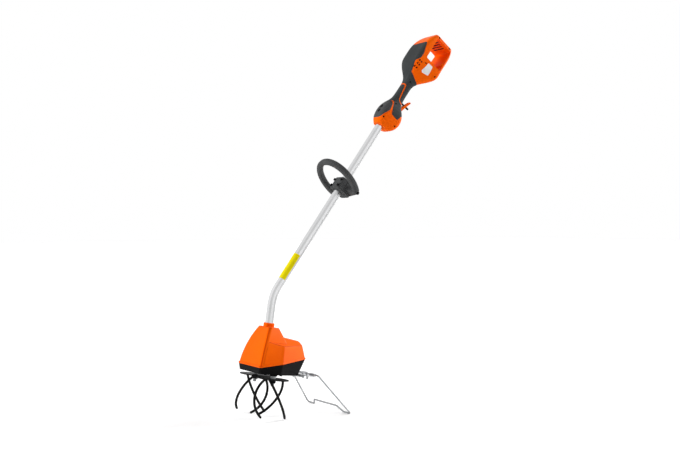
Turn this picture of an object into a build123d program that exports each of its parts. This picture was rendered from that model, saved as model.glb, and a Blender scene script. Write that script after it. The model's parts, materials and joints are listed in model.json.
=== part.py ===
from build123d import *
from math import acos, cos, degrees, pi, radians, sin, tan
import os

# Cordless cultivator, parked on its wire stand.
# Millimetres. +Z is up, the operator stands at +Y, and +X is the machine's left.
# Three working frames: the head (rotor shafts along its z), the seam plane of the head
# cover, and the handle (upper tube axis along its z, underside towards its y).

# Parked attitude
HEAD_LEAN = 8.5
SHAFT_ANGLE = 36.8
ROTOR_HEIGHT = 119.5

# Fits
RUNNING_FIT = 0.05
SEAT_FIT = 0.03
SLIDE_FIT = 0.1
SKIN_GAP = 0.3
AXIAL_GAP = 0.4

# Shaft tube
TUBE_RADIUS = 12.7
TUBE_WALL = 1.5
TUBE_Y = -6.1
TUBE_FOOT = 108.0
BEND_HEIGHT = 247.6
BEND_RADIUS = 120.0
UPPER_LENGTH = 660.0
TUBE_IN_HANDLE = 42.0

# Motor cable inside the tube
CABLE_RADIUS = 3.0
CABLE_DROP = 78.0
CABLE_BEND = 16.0
CABLE_TOP = 50.0

# Head housing: outline at the seam, outline at the bottom, heights in the head frame
HOUSING_Y = -12.6
SEAM_HEIGHT = 39.4
SEAM_RISE = 10.9
HOUSING_WALL = 2.6
HOUSING_CORNER = 9.0
SIDE_HALF = 70.0
REAR_HALF = 32.0
FRONT_Y = -45.0
SIDE_Y = 32.0
REAR_Y = 135.0
LIP_OUT = 1.4
LIP_HEIGHT = 4.0
BASE_BOTTOM = 12.5
BASE_FLOOR = 3.5
BASE_SIDE_HALF = 66.0
BASE_REAR_HALF = 30.0
BASE_FRONT_Y = -41.0
BASE_SIDE_Y = 31.0
BASE_REAR_Y = 113.5

# Lobe over the motor, in the seam frame
LOBE_TOP = 120.0
LOBE_SIDE_HALF = 35.0
LOBE_REAR_HALF = 16.0
LOBE_FRONT_Y = 22.0
LOBE_SIDE_Y = 73.0
LOBE_REAR_Y = 120.0
RIDGE_Y = 76.0
RIDGE_HEIGHT = 76.0
RIDGE_FALL = 18.4
ROOF_PITCH = 31.0
RIDGE_ROUND = 30.0
ROOF_EDGE_ROUND = 6.0

# Tower round the tube, in the head frame: half width, front, rear at three heights
TOWER_FOOT = 31.0
TOWER_MID = 92.0
TOWER_TOP = 150.0
TOWER_FOOT_SIZE = (69.5, 50.0, -44.0, 92.0)
TOWER_MID_SIZE = (60.0, 42.0, -32.0, 64.0)
TOWER_TOP_SIZE = (37.0, 27.0, -10.0, 29.0)
TOWER_CORNER = 8.0
TOWER_EDGE_ROUND = 4.0

# Neck collar
COLLAR_RADIUS = 16.4
COLLAR_HEIGHT = 12.0
COLLAR_SCREW_RADIUS = 3.0
COLLAR_EAR = 6.0
COLLAR_EAR_OUT = 1.6
COLLAR_TURN = 56.0
COLLAR_POCKET = 3.0

# Gear train: module and tooth counts
TRAIN_MODULE = 1.25
OUTPUT_TEETH = 16
IDLER_TEETH = 35
LAY_PINION_TEETH = 12
MOTOR_MODULE = 1.0
REDUCTION_TEETH = 60
MOTOR_PINION_TEETH = 12
PRESSURE_ANGLE = 25.0
ADDENDUM = 0.8
DEDENDUM = 1.1
BACKLASH = 0.12
TRAIN_BOTTOM = 25.0
TRAIN_FACE = 7.0
REDUCTION_BOTTOM = 36.0
REDUCTION_FACE = 5.0
LAY_ANGLE = 110.0

# Shafts, bearings, gear plate
SHAFT_RADIUS = 5.0
SHAFT_END = -21.0
BEARING_RADIUS = 9.5
BEARING_WIDTH = 5.0
BEARING_RACE = 2.0
BUSH_RADIUS = 8.0
BUSH_WALL = 1.5
SEAL_WIDTH = 2.0
BOSS_WALL = 1.9
BOSS_DROP = 4.0
PLATE_BOTTOM = 44.0
PLATE_THICK = 3.5
PLATE_MARGIN = 7.0
PIN_RADIUS = 4.0
PIN_HEAD = 6.0
PIN_HEAD_THICK = 1.4
LAY_RADIUS = 4.0
POST_RADIUS = 4.5
POST_BORE = 2.0
PLATE_POSTS = ((-38.0, -28.0), (38.0, -28.0), (-44.0, 40.0), (48.0, 44.0), (-26.0, 86.0), (26.0, 86.0))
BASE_SCREW_PLACES = ((57.0, 24.0), (-57.0, 24.0), (57.0, -30.0), (-57.0, -30.0))
BASE_SCREW_RADIUS = 2.0
BASE_PILLAR = 4.5
MOTOR_RADIUS = 30.0
MOTOR_HEIGHT = 50.0
MOTOR_SHAFT_RADIUS = 3.0
TERMINAL_SIZE = (14.0, 8.0, 16.0)

# Rotors
DISC_RADIUS = 48.0
DISC_THICK = 3.0
SPACER_RADIUS = 8.0
HUB_RADIUS = 9.0
HUB_HEIGHT = 11.0
HUB_FLANGE = 13.0
HUB_FLANGE_THICK = 3.0
TINE_RADIUS = 3.8
TINE_DROP = 110.0
TINE_ROOT = 28.6
TINE_BULGE = 45.5
TINE_TIP = 49.0
TINE_SWEEP = 118.0
TINE_MID_TURN = 52.0
TINE_MID_DROP = 46.0
TINE_COUNT = 3
LEFT_ROOT_ANGLE = 64.0
RIGHT_ROOT_ANGLE = -30.0

# Parking stand, folding about its top bar
WIRE_RADIUS = 2.5
STAND_Y = 142.1
STAND_Z = 20.6
STAND_TOP_HALF = 80.0
STAND_FOOT_HALF = 122.0
STAND_FOOT_INNER = 84.0
STAND_BRIDGE_HALF = 64.0
STAND_BRIDGE_RISE = 21.0
STAND_SLOPE = 52.5
WIRE_BEND = 7.0
WIRE_SPLIT = 1.0
BRACKET_HALF = 62.0
BRACKET_THICK = 2.5
BRACKET_FRONT_Y = 83.4
BRACKET_BEND_Y = 104.0
BRACKET_NECK = 31.0
BRACKET_BOLT_X = 22.0
BRACKET_BOLT_Y = 93.4
BRACKET_WING_X = (24.0, 47.0)
BRACKET_WING_Y = 124.0
BRACKET_KNUCKLES = ((-62.0, -38.0), (-12.0, 12.0), (38.0, 62.0))
BRACKET_THREAD = 9.0
BRACKET_BOLT_RADIUS = 3.0
BRACKET_HEAD_RADIUS = 5.0
BRACKET_HEAD_THICK = 4.0

# Loop handle on the upper tube
LOOP_BACK = 242.6
LOOP_TILT = 15.1
LOOP_RADIUS = 75.5
LOOP_CENTRE = 20.5
LOOP_OPEN = 35.0
LOOP_BAR = (20.0, 18.5)
LOOP_BAR_CORNER = 7.5
WEB_THICK = 13.0
CLAMP_HALF = 24.0
CLAMP_LENGTH = 40.0
CLAMP_DROP = 34.0
CLAMP_RISE = 22.0
CLAMP_SPLIT = 1.0
CLAMP_CORNER = 8.0
CLAMP_BOLT_X = 18.5
CLAMP_BOLT_S = 11.0
CLAMP_BOLT_RADIUS = 2.5
CLAMP_HEAD_RADIUS = 4.5
CLAMP_HEAD_HEIGHT = 4.0
CLAMP_SEAT = 21.2
CLAMP_BOLT_REACH = 22.0
CROSS_BOLT_N = 27.0
CROSS_BOLT_RADIUS = 4.0
CROSS_HEAD_RADIUS = 7.0
CROSS_HEAD_THICK = 5.0

# Rear handle: stations along its axis as (place, half width, top, underside, corner)
HANDLE_STATIONS = (
    (9.0, 19.0, -18.0, 27.0, 12.0),
    (22.0, 25.5, -25.5, 42.5, 15.0),
    (42.0, 29.0, -31.0, 51.0, 16.0),
    (66.0, 29.0, -31.5, 50.5, 16.0),
    (87.0, 25.5, -27.0, 40.5, 15.0),
    (104.0, 20.5, -19.5, 29.0, 14.0),
    (122.0, 17.5, -13.5, 24.0, 14.0),
    (145.0, 16.8, -11.5, 22.5, 14.0),
    (170.0, 16.8, -11.0, 22.5, 14.0),
    (194.0, 18.0, -11.5, 24.0, 14.0),
    (213.0, 23.0, -16.0, 32.0, 14.0),
    (232.0, 31.5, -26.0, 47.0, 14.0),
    (250.0, 39.0, -34.5, 61.0, 13.0),
    (266.0, 43.5, -39.0, 69.0, 12.0),
    (290.0, 45.0, -40.5, 70.0, 12.0),
    (335.0, 45.0, -38.5, 70.0, 12.0),
    (368.0, 43.8, -30.0, 69.0, 12.0),
    (387.0, 41.0, -20.5, 65.0, 12.0),
    (400.0, 36.5, -12.0, 58.0, 11.0),
)
END_ROUND = 4.0
HANDLE_ROOMS = (
    (19.0, (
        (20.0, -17.0), (30.0, -23.0), (44.0, -26.0), (77.0, -26.0), (86.0, -20.0), (98.0, -13.0),
        (98.0, 26.0), (86.0, 34.0), (68.0, 44.0), (44.0, 44.0), (30.0, 38.0), (20.0, 26.0),
    )),
    (9.5, ((90.0, -7.0), (214.0, -7.0), (214.0, 19.0), (90.0, 19.0))),
    (14.0, ((208.0, -5.0), (242.0, -22.0), (242.0, 44.0), (208.0, 20.0))),
    (27.0, ((238.0, -21.0), (262.0, -31.0), (286.0, -33.0), (286.0, 61.0), (262.0, 57.0), (238.0, 43.0))),
)
CROWN_TOP = 398.0
CROWN_RADIUS = 117.0
HANDLE_RIBS = ((14.0, 18.0), (36.0, 40.0), (80.0, 84.0), (204.0, 208.0))

# Battery bay, open on both sides
BAY_START = 294.0
BAY_END = 380.0
BAY_TOP = -10.0
BAY_BOTTOM = 60.0
BAY_CORNER = 5.0
BAY_SLOTS = (4.0, 14.0, 24.0, 34.0)
SLOT_WIDTH = 4.5
SLOT_HALF = 26.0
SLOT_DEPTH = 5.0
RAIL_PLACE = 322.0
RAIL_WIDTH = 11.0
RAIL_RISE = 5.0
RAIL_HALF = 40.0
TERMINAL_BLOCK = (30.0, 26.0, 7.0)
TERMINAL_N = 27.0
CONTACT_X = (-9.0, 0.0, 9.0)
CONTACT_SLOT = 2.4
CONTACT_THICK = 1.0

# Keypad outline in the side view, as (along, across)
KEYPAD_OUTLINE = (
    (12.0, -50.0), (20.0, -27.0), (40.0, -23.5), (63.0, -12.5), (91.0, -14.0),
    (94.0, -50.0),
)
VENT_ROWS = (244.0, 256.0, 268.0)
VENT_COLUMNS = (-25.0, -16.5)
VENT_SIZE = (6.5, 5.5)
HANDLE_SCREWS = (
    (31.0, -18.0), (33.0, 35.0), (99.0, -3.0), (198.0, 1.0), (276.0, 0.0), (266.0, 56.0),
    (387.0, -5.0), (387.0, 48.0),
)
SCREW_RADIUS = 1.6
SCREW_HEAD_RADIUS = 3.0
SCREW_HEAD_THICK = 2.4
SCREW_RECESS = 3.4
SCREW_DEPTH = 4.6
SCREW_REACH = 10.0
PILLAR_RADIUS = 5.2

# Controls
BUTTON_PLACES = (50.0, 67.0)
BUTTON_RADIUS = 6.0
BUTTON_TOP = -32.8
BUTTON_FLANGE = -25.6
BUTTON_FOOT = -18.0
TRIGGER_PIVOT = (97.0, 22.0)
TRIGGER_HUB = 5.0
TRIGGER_HALF = 7.0
TRIGGER_OUTLINE = (
    (94.0, 18.0), (101.0, 17.0), (106.0, 29.0), (123.0, 34.5), (150.0, 46.5), (149.0, 52.0), (120.0, 42.0),
    (101.0, 37.0), (93.0, 26.0),
)
TRIGGER_SLOT = (112.0, 146.0)
TRIGGER_PORT = (90.0, 121.0)
LOCKOUT_PIVOT = (127.0, 14.0)
LOCKOUT_HUB = 3.8
LOCKOUT_HALF = 2.6
LOCKOUT_REACH = 58.0
LOCKOUT_THICK = 4.5
LOCKOUT_LEAN = 1.5
PIVOT_BOSS = 4.5
LOCKOUT_SLOT = 3.4
LOCKOUT_PORT = (121.0, 140.0)
CONTROL_PIN_RADIUS = 1.8
CONTROL_PIN_HALF = 12.0
SPRING_RADIUS = 4.2
SPRING_LENGTH = 3.6
SWITCH_SIZE = (16.0, 12.0, 30.0)
SWITCH_PLACE = (0.0, 0.0, 65.0)
BOARD_SIZE = (48.0, 2.0, 40.0)
BOARD_PLACE = (0.0, 12.0, 263.0)
LEDGE = 3.0

# Working frames
BEND_ANGLE = SHAFT_ANGLE - HEAD_LEAN
HEAD = Location((0, 0, ROTOR_HEIGHT), (-HEAD_LEAN, 0, 0))
SEAM_IN_HEAD = Location((0, HOUSING_Y, SEAM_HEIGHT), (SEAM_RISE, 0, 0))
UPPER_DIR = Vector(0, sin(radians(BEND_ANGLE)), cos(radians(BEND_ANGLE)))
BEND_CORNER = Vector(0, TUBE_Y, BEND_HEIGHT)
TUBE_END = BEND_CORNER + UPPER_DIR * UPPER_LENGTH
HANDLE = HEAD * Location(tuple(TUBE_END), (-BEND_ANGLE, 0, 0))

# Places worked out from the gear sizes
OUTPUT_PITCH = TRAIN_MODULE * OUTPUT_TEETH / 2
IDLER_PITCH = TRAIN_MODULE * IDLER_TEETH / 2
LAY_PITCH = TRAIN_MODULE * LAY_PINION_TEETH / 2
REDUCTION_PITCH = MOTOR_MODULE * REDUCTION_TEETH / 2
MOTOR_PITCH = MOTOR_MODULE * MOTOR_PINION_TEETH / 2
ROTOR_X = 2 * IDLER_PITCH + OUTPUT_PITCH
LAY_X = IDLER_PITCH + (IDLER_PITCH + LAY_PITCH) * cos(radians(LAY_ANGLE))
LAY_Y = (IDLER_PITCH + LAY_PITCH) * sin(radians(LAY_ANGLE))
MOTOR_ANGLE = degrees(acos(-LAY_X / (REDUCTION_PITCH + MOTOR_PITCH)))
MOTOR_Y = LAY_Y + (REDUCTION_PITCH + MOTOR_PITCH) * sin(radians(MOTOR_ANGLE))
PLATE_TOP = PLATE_BOTTOM + PLATE_THICK
FLOOR_TOP = BASE_BOTTOM + BASE_FLOOR
MOTOR_FRONT = MOTOR_Y - MOTOR_RADIUS - TERMINAL_SIZE[1] / 2

pieces = {}


def keep(name, shape, place):
    pieces[name] = place * shape


def rod(radius, low, high, x=0.0, y=0.0):
    return Pos(x, y, (low + high) / 2) * Cylinder(radius, high - low)


def ring(outer, inner, low, high, x=0.0, y=0.0):
    return rod(outer, low, high, x, y) - rod(inner, low - 1, high + 1, x, y)


def cross_rod(radius, left, right, y, z):
    return Pos((left + right) / 2, y, z) * (Rot(0, 90, 0) * Cylinder(radius, right - left))


def block(low, high):
    size = [b - a for a, b in zip(low, high)]
    middle = [(a + b) / 2 for a, b in zip(low, high)]
    return Pos(*middle) * Box(*size)


def side_prism(outline, left, right, grow=0.0):
    """Prism across X from an outline given as (along, across) in the side view."""
    face = make_face(Polyline(*outline, close=True))
    if grow:
        face = offset(face, amount=grow, kind=Kind.INTERSECTION)
    side = Plane(origin=(right, 0, 0), x_dir=(0, 0, 1), z_dir=(-1, 0, 0))
    return extrude(side * face, amount=right - left)


# Tube, collar and cable
def tube_path(foot, top):
    points = [(0, TUBE_Y, foot), BEND_CORNER, BEND_CORNER + UPPER_DIR * (UPPER_LENGTH + top)]
    return FilletPolyline(*points, radius=BEND_RADIUS)


def shaft_tube():
    path = tube_path(TUBE_FOOT, TUBE_IN_HANDLE)
    section = Plane(origin=path @ 0, z_dir=path % 0)
    outer = sweep(section * Circle(TUBE_RADIUS), path=path)
    inner = sweep(section * Circle(TUBE_RADIUS - TUBE_WALL), path=path)
    return outer - inner


def motor_cable():
    motor_end = (0, MOTOR_FRONT - TERMINAL_SIZE[1] / 2, CABLE_DROP)
    top = BEND_CORNER + UPPER_DIR * (UPPER_LENGTH + CABLE_TOP)
    points = [motor_end, (0, TUBE_Y, CABLE_DROP), BEND_CORNER, top]
    path = FilletPolyline(*points, radius=[CABLE_BEND, BEND_RADIUS])
    section = Plane(origin=path @ 0, z_dir=path % 0)
    print("cable bend radii", CABLE_BEND, BEND_RADIUS, "length", round(path.length, 1))
    return sweep(section * Circle(CABLE_RADIUS), path=path)


def collar_frame():
    """The collar's own frame: screw towards the front left."""
    return Location((0, TUBE_Y, TOWER_TOP)) * Rot(0, 0, COLLAR_TURN)


def neck_collar():
    body = ring(COLLAR_RADIUS, TUBE_RADIUS + SEAT_FIT, 0, COLLAR_HEIGHT)
    rim = body.edges().filter_by(GeomType.CIRCLE).group_by(Axis.Z)[-1].sort_by(SortBy.LENGTH)[-1]
    body = chamfer(rim, 1.6)
    face = -COLLAR_RADIUS - COLLAR_EAR_OUT
    ear = block((-COLLAR_EAR, face, 0), (COLLAR_EAR, -TUBE_RADIUS - 1, COLLAR_HEIGHT - 2))
    pocket = Pos(0, face, COLLAR_HEIGHT / 2) * (
        Rot(90, 0, 0) * Cylinder(COLLAR_SCREW_RADIUS + SEAT_FIT, 2 * COLLAR_POCKET)
    )
    return collar_frame() * (body + ear - pocket)


def neck_screw():
    seat = COLLAR_POCKET - COLLAR_RADIUS - COLLAR_EAR_OUT
    height = COLLAR_HEIGHT / 2
    head = Pos(0, seat - 1, height) * (Rot(90, 0, 0) * Cylinder(COLLAR_SCREW_RADIUS, 2))
    hexagon = extrude(RegularPolygon(1.6, 6), amount=1, both=True)
    socket = Pos(0, seat - 2, height) * (Rot(90, 0, 0) * hexagon)
    return collar_frame() * (head - socket)


# Head housing
def outline_face(side, rear, front_y, side_y, rear_y, corner):
    left = [(side, front_y), (side, side_y), (rear, rear_y)]
    points = left + [(-x, y) for x, y in reversed(left)]
    face = make_face(Polyline(*points, close=True))
    return fillet(face.vertices(), corner)


def lobe(inset):
    low = seam_outline(inset)
    high = outline_face(
        LOBE_SIDE_HALF - inset,
        LOBE_REAR_HALF - inset,
        LOBE_FRONT_Y + inset,
        LOBE_SIDE_Y,
        LOBE_REAR_Y - inset,
        HOUSING_CORNER - inset,
    )
    body = loft([low, Pos(0, 0, LOBE_TOP) * high], ruled=True)
    rise = RIDGE_HEIGHT - inset
    run = 2 * SIDE_HALF
    fall = run * tan(radians(ROOF_PITCH))
    gable = make_face(
        Polyline((-run, -run), (run, -run), (run, rise - fall), (0, rise), (-run, rise - fall), close=True)
    )
    gable = fillet(gable.vertices().sort_by(Axis.Y)[-1:], RIDGE_ROUND)
    length = 2 * REAR_Y
    roof = Rot(90, 0, 0) * extrude(gable, amount=length, both=True)
    roof = Pos(0, RIDGE_Y, 0) * roof
    peak = Location((0, RIDGE_Y, RIDGE_HEIGHT))
    body = body & (peak * Rot(-RIDGE_FALL, 0, 0) * peak.inverse() * roof)
    if inset == 0:
        edges = body.edges().filter_by(lambda e: e.center().Z > 30)
        body = fillet(edges, ROOF_EDGE_ROUND)
    return SEAM_IN_HEAD * body


def tower(inset):
    sections = []
    for height, (front, rear, front_y, rear_y) in (
        (TOWER_FOOT, TOWER_FOOT_SIZE),
        (TOWER_MID, TOWER_MID_SIZE),
        (TOWER_TOP - inset, TOWER_TOP_SIZE),
    ):
        points = [
            (-front + inset, front_y + inset),
            (front - inset, front_y + inset),
            (rear - inset, rear_y - inset),
            (-rear + inset, rear_y - inset),
        ]
        face = fillet(make_face(Polyline(*points, close=True)).vertices(), TOWER_CORNER - inset)
        sections.append(Pos(0, HOUSING_Y, height) * face)
    body = loft(sections)
    if inset == 0:
        body = fillet(body.faces().sort_by(Axis.Z)[-1].edges(), TOWER_EDGE_ROUND)
    return body


def above_seam():
    return SEAM_IN_HEAD * block((-200, -200, 0), (200, 300, 300))


def head_cover():
    lip = seam_outline(-LIP_OUT)
    outer = lobe(0) + tower(0) + SEAM_IN_HEAD * extrude(lip, amount=LIP_HEIGHT, taper=12)
    inner = lobe(HOUSING_WALL) + tower(HOUSING_WALL)
    tube_hole = rod(TUBE_RADIUS + SEAT_FIT, TUBE_FOOT - 5, TOWER_TOP + 5, 0, TUBE_Y)
    socket = rod(COLLAR_RADIUS, TUBE_FOOT, TOWER_TOP - 1, 0, TUBE_Y)
    return (((outer - inner) + (socket & outer)) - tube_hole) & above_seam()


def base_outline(inset):
    return outline_face(
        BASE_SIDE_HALF - inset,
        BASE_REAR_HALF - inset,
        BASE_FRONT_Y + inset,
        BASE_SIDE_Y,
        BASE_REAR_Y - inset,
        HOUSING_CORNER - inset,
    )


def seam_outline(inset):
    return outline_face(
        SIDE_HALF - inset,
        REAR_HALF - inset,
        FRONT_Y + inset,
        SIDE_Y,
        REAR_Y - inset,
        HOUSING_CORNER - inset,
    )


def base_tub():
    bottom = Pos(0, HOUSING_Y, BASE_BOTTOM) * base_outline(0)
    outer = loft([bottom, SEAM_IN_HEAD * seam_outline(0)], ruled=True)
    floor = Pos(0, HOUSING_Y, FLOOR_TOP) * base_outline(HOUSING_WALL + 0.4)
    mouth = SEAM_IN_HEAD * (Pos(0, 0, 0.5) * seam_outline(HOUSING_WALL))
    inner = loft([floor, mouth], ruled=True)
    body = outer - inner
    boss_top = TRAIN_BOTTOM - AXIAL_GAP
    for x in (-ROTOR_X, ROTOR_X):
        boss = rod(BEARING_RADIUS + BOSS_WALL, BASE_BOTTOM - BOSS_DROP, boss_top - 1, x)
        body = body + boss
    for x in (-IDLER_PITCH, IDLER_PITCH):
        body = body + rod(PIN_RADIUS + 3, FLOOR_TOP - 1, boss_top, x)
    body = body + rod(LAY_RADIUS + 3, FLOOR_TOP - 1, boss_top, LAY_X, LAY_Y)
    for x, y in BASE_SCREW_PLACES:
        body = body + rod(BASE_PILLAR, FLOOR_TOP - 1, BASE_BOTTOM + 12, x, y)
        body = body - rod(BASE_SCREW_RADIUS + SEAT_FIT, BASE_BOTTOM - 1, BASE_BOTTOM + 10, x, y)
    for x, y in base_bolt_places():
        body = body - rod(BRACKET_BOLT_RADIUS + SEAT_FIT, BASE_BOTTOM - 1, FLOOR_TOP - 0.4, x, y)
    for x, y in PLATE_POSTS:
        body = body + rod(POST_RADIUS, FLOOR_TOP - 1, PLATE_BOTTOM, x, y)
        body = body - rod(POST_BORE + SEAT_FIT, PLATE_BOTTOM - 14, PLATE_BOTTOM + 1, x, y)
    for x in (-ROTOR_X, ROTOR_X):
        body = body - rod(SHAFT_RADIUS + 1, BASE_BOTTOM - BOSS_DROP - 1, boss_top + 1, x)
        body = body - rod(OUTPUT_PITCH + 1.8, boss_top, TRAIN_BOTTOM + TRAIN_FACE + 2, x)
        body = body - rod(BEARING_RADIUS + SEAT_FIT, boss_top - 1 - BEARING_WIDTH, boss_top + 1, x)
        boss_foot = BASE_BOTTOM - BOSS_DROP
        body = body - rod(BEARING_RADIUS + SEAT_FIT, boss_foot - 1, boss_foot + SEAL_WIDTH, x)
    for x in (-IDLER_PITCH, IDLER_PITCH):
        body = body - rod(PIN_RADIUS + SEAT_FIT, FLOOR_TOP - 2, boss_top + 1, x)
    body = body - rod(LAY_RADIUS + RUNNING_FIT, FLOOR_TOP, boss_top + 1, LAY_X, LAY_Y)
    return body


def gear_plate():
    margin = PLATE_MARGIN
    outline = outline_face(
        SIDE_HALF - margin, REAR_HALF, FRONT_Y + margin + 4, SIDE_Y, REAR_Y - 3 * margin, HOUSING_CORNER - 2
    )
    plate = Pos(0, HOUSING_Y, PLATE_BOTTOM) * extrude(outline, amount=PLATE_THICK)
    top = PLATE_BOTTOM + BEARING_WIDTH + 1
    for x in (-ROTOR_X, ROTOR_X):
        plate = plate + rod(BUSH_RADIUS + BUSH_WALL, PLATE_BOTTOM, top, x)
        plate = plate - rod(SHAFT_RADIUS + 1, PLATE_BOTTOM - 1, top + 1, x)
        plate = plate - rod(BUSH_RADIUS + SEAT_FIT, PLATE_BOTTOM + 1, top + 1, x)
    plate = plate - rod(LAY_RADIUS + RUNNING_FIT, PLATE_BOTTOM - 1, PLATE_TOP + 1, LAY_X, LAY_Y)
    plate = plate - rod(MOTOR_PITCH + 3, PLATE_BOTTOM - 1, PLATE_TOP + 1, 0, MOTOR_Y)
    for x, y in PLATE_POSTS:
        plate = plate - rod(POST_BORE + SEAT_FIT, PLATE_BOTTOM - 1, PLATE_TOP + 1, x, y)
    return plate


def plate_screws():
    screws = []
    for x, y in PLATE_POSTS:
        shank = rod(POST_BORE, PLATE_BOTTOM - 12, PLATE_TOP, x, y)
        screws.append(shank + rod(POST_BORE * 2, PLATE_TOP, PLATE_TOP + 2.5, x, y))
    return Compound(screws)


# Gear train
def involute(angle):
    return tan(angle) - angle


def gear(teeth, module, low, high, bore, phase=0.0):
    pitch = module * teeth / 2
    base = pitch * cos(radians(PRESSURE_ANGLE))
    tip = pitch + ADDENDUM * module
    root = pitch - DEDENDUM * module
    at_pitch = pi / (2 * teeth) - BACKLASH / pitch / 2

    def half_angle(radius):
        return at_pitch + involute(radians(PRESSURE_ANGLE)) - involute(acos(base / max(radius, base)))

    points = []
    for tooth in range(teeth):
        middle = radians(phase) + 2 * pi * tooth / teeth
        for radius, side in ((root, -1), (tip, -1), (tip, 1), (root, 1)):
            angle = middle + side * half_angle(radius)
            points.append((radius * cos(angle), radius * sin(angle)))
    blank = extrude(make_face(Polyline(*points, close=True)), amount=high - low)
    return Pos(0, 0, low) * blank - rod(bore, low - 1, high + 1)


def meshed_phase(direction, phase, pitch, teeth, mate_pitch):
    """Phase that puts a tooth gap of the mating gear on a tooth of this one."""
    offset_arc = radians(phase - direction) * pitch
    half_tooth = pi * pitch / teeth
    return direction + 180 - degrees((offset_arc + half_tooth) / mate_pitch)


LEFT_PHASE = 0.0
IDLER_LEFT_PHASE = meshed_phase(180, LEFT_PHASE, OUTPUT_PITCH, OUTPUT_TEETH, IDLER_PITCH)
IDLER_RIGHT_PHASE = meshed_phase(180, IDLER_LEFT_PHASE, IDLER_PITCH, IDLER_TEETH, IDLER_PITCH)
RIGHT_PHASE = meshed_phase(180, IDLER_RIGHT_PHASE, IDLER_PITCH, IDLER_TEETH, OUTPUT_PITCH)
LAY_PHASE = meshed_phase(LAY_ANGLE, IDLER_LEFT_PHASE, IDLER_PITCH, IDLER_TEETH, LAY_PITCH)
REDUCTION_PHASE = 0.0
MOTOR_PHASE = meshed_phase(MOTOR_ANGLE, REDUCTION_PHASE, REDUCTION_PITCH, REDUCTION_TEETH, MOTOR_PITCH)


def output_shaft():
    spacer_low = DISC_THICK / 2
    shaft = rod(SHAFT_RADIUS, SHAFT_END, PLATE_BOTTOM + BEARING_WIDTH + 1)
    shaft = shaft + rod(SPACER_RADIUS, spacer_low, BASE_BOTTOM - BOSS_DROP - AXIAL_GAP)
    return chamfer(shaft.edges().filter_by(GeomType.CIRCLE).sort_by(Axis.Z)[:1], 1.0)


def bearing(radius, low, width):
    outer = ring(radius, radius - BEARING_RACE, low, low + width)
    inner = ring(SHAFT_RADIUS + 1.4, SHAFT_RADIUS + RUNNING_FIT, low, low + width)
    shield = ring(radius - BEARING_RACE, SHAFT_RADIUS + 1.4, low + 1, low + width - 1)
    return outer + inner + shield


def tine_disc():
    disc = rod(DISC_RADIUS, -DISC_THICK / 2, DISC_THICK / 2)
    disc = chamfer(disc.edges().filter_by(GeomType.CIRCLE), 0.8)
    return disc - rod(SHAFT_RADIUS + SEAT_FIT, -DISC_THICK, DISC_THICK)


def hub_nut():
    top = -DISC_THICK / 2
    flange = rod(HUB_FLANGE, top - HUB_FLANGE_THICK, top)
    nut = Pos(0, 0, top - HUB_HEIGHT) * extrude(RegularPolygon(HUB_RADIUS, 6), amount=HUB_HEIGHT)
    return flange + nut - rod(SHAFT_RADIUS + SEAT_FIT, top - HUB_HEIGHT - 1, top + 1)


def polar(radius, angle, z):
    return Vector(radius * cos(radians(angle)), radius * sin(radians(angle)), z)


def tines(root_angle, turn):
    """Three bent rods welded under a disc, turning one way as they go down."""
    rods = []
    for count in range(TINE_COUNT):
        start = root_angle + 360 * count / TINE_COUNT
        arc = ThreePointArc(
            polar(TINE_ROOT, start, 1),
            polar(TINE_BULGE, start + turn * TINE_MID_TURN, -TINE_MID_DROP),
            polar(TINE_TIP, start + turn * TINE_SWEEP, -TINE_DROP),
        )
        bent = sweep(Plane(origin=arc @ 0, z_dir=arc % 0) * Circle(TINE_RADIUS), path=arc)
        above = block((-100, -100, -DISC_THICK / 2), (100, 100, 20))
        bent = bent - above
        tip = arc @ 1
        rods.append(bent + Pos(*tip) * Sphere(TINE_RADIUS))
    return Compound(rods)


def idler_pin(x):
    top = TRAIN_BOTTOM + TRAIN_FACE + AXIAL_GAP
    pin = rod(PIN_RADIUS, FLOOR_TOP - 2, top, x)
    return pin + rod(PIN_HEAD, top, top + PIN_HEAD_THICK, x)


def drive_motor():
    low = PLATE_TOP
    high = PLATE_TOP + MOTOR_HEIGHT
    can = rod(MOTOR_RADIUS, low, high, 0, MOTOR_Y)
    can = fillet(can.edges().filter_by(GeomType.CIRCLE).sort_by(Axis.Z)[-1:], 4.0)
    wide, deep, tall = TERMINAL_SIZE
    terminal = Pos(0, MOTOR_FRONT + 2, CABLE_DROP) * Box(wide, deep + 4, tall)
    can = can + terminal
    return can - rod(MOTOR_SHAFT_RADIUS + RUNNING_FIT, low - 1, high - 6, 0, MOTOR_Y)


def motor_shaft():
    return rod(MOTOR_SHAFT_RADIUS, REDUCTION_BOTTOM - 1, PLATE_TOP + MOTOR_HEIGHT - 8)


def layshaft():
    shaft = rod(LAY_RADIUS, FLOOR_TOP + 0.5, PLATE_TOP - 0.5)
    collar = rod(LAY_RADIUS + 2, TRAIN_BOTTOM + TRAIN_FACE + 1, REDUCTION_BOTTOM)
    return shaft + collar


# Parking stand, set out in the plane of its legs
STAND_PIVOT = HEAD * Location((0, STAND_Y, STAND_Z))
STAND_PLANE = Plane(
    origin=STAND_PIVOT.position,
    x_dir=(1, 0, 0),
    z_dir=(0, sin(radians(STAND_SLOPE)), cos(radians(STAND_SLOPE))),
)
STAND_REACH = (STAND_PIVOT.position.Z - WIRE_RADIUS) / sin(radians(STAND_SLOPE))
BRACKET_SHELF = STAND_Z - WIRE_RADIUS - SKIN_GAP


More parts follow.
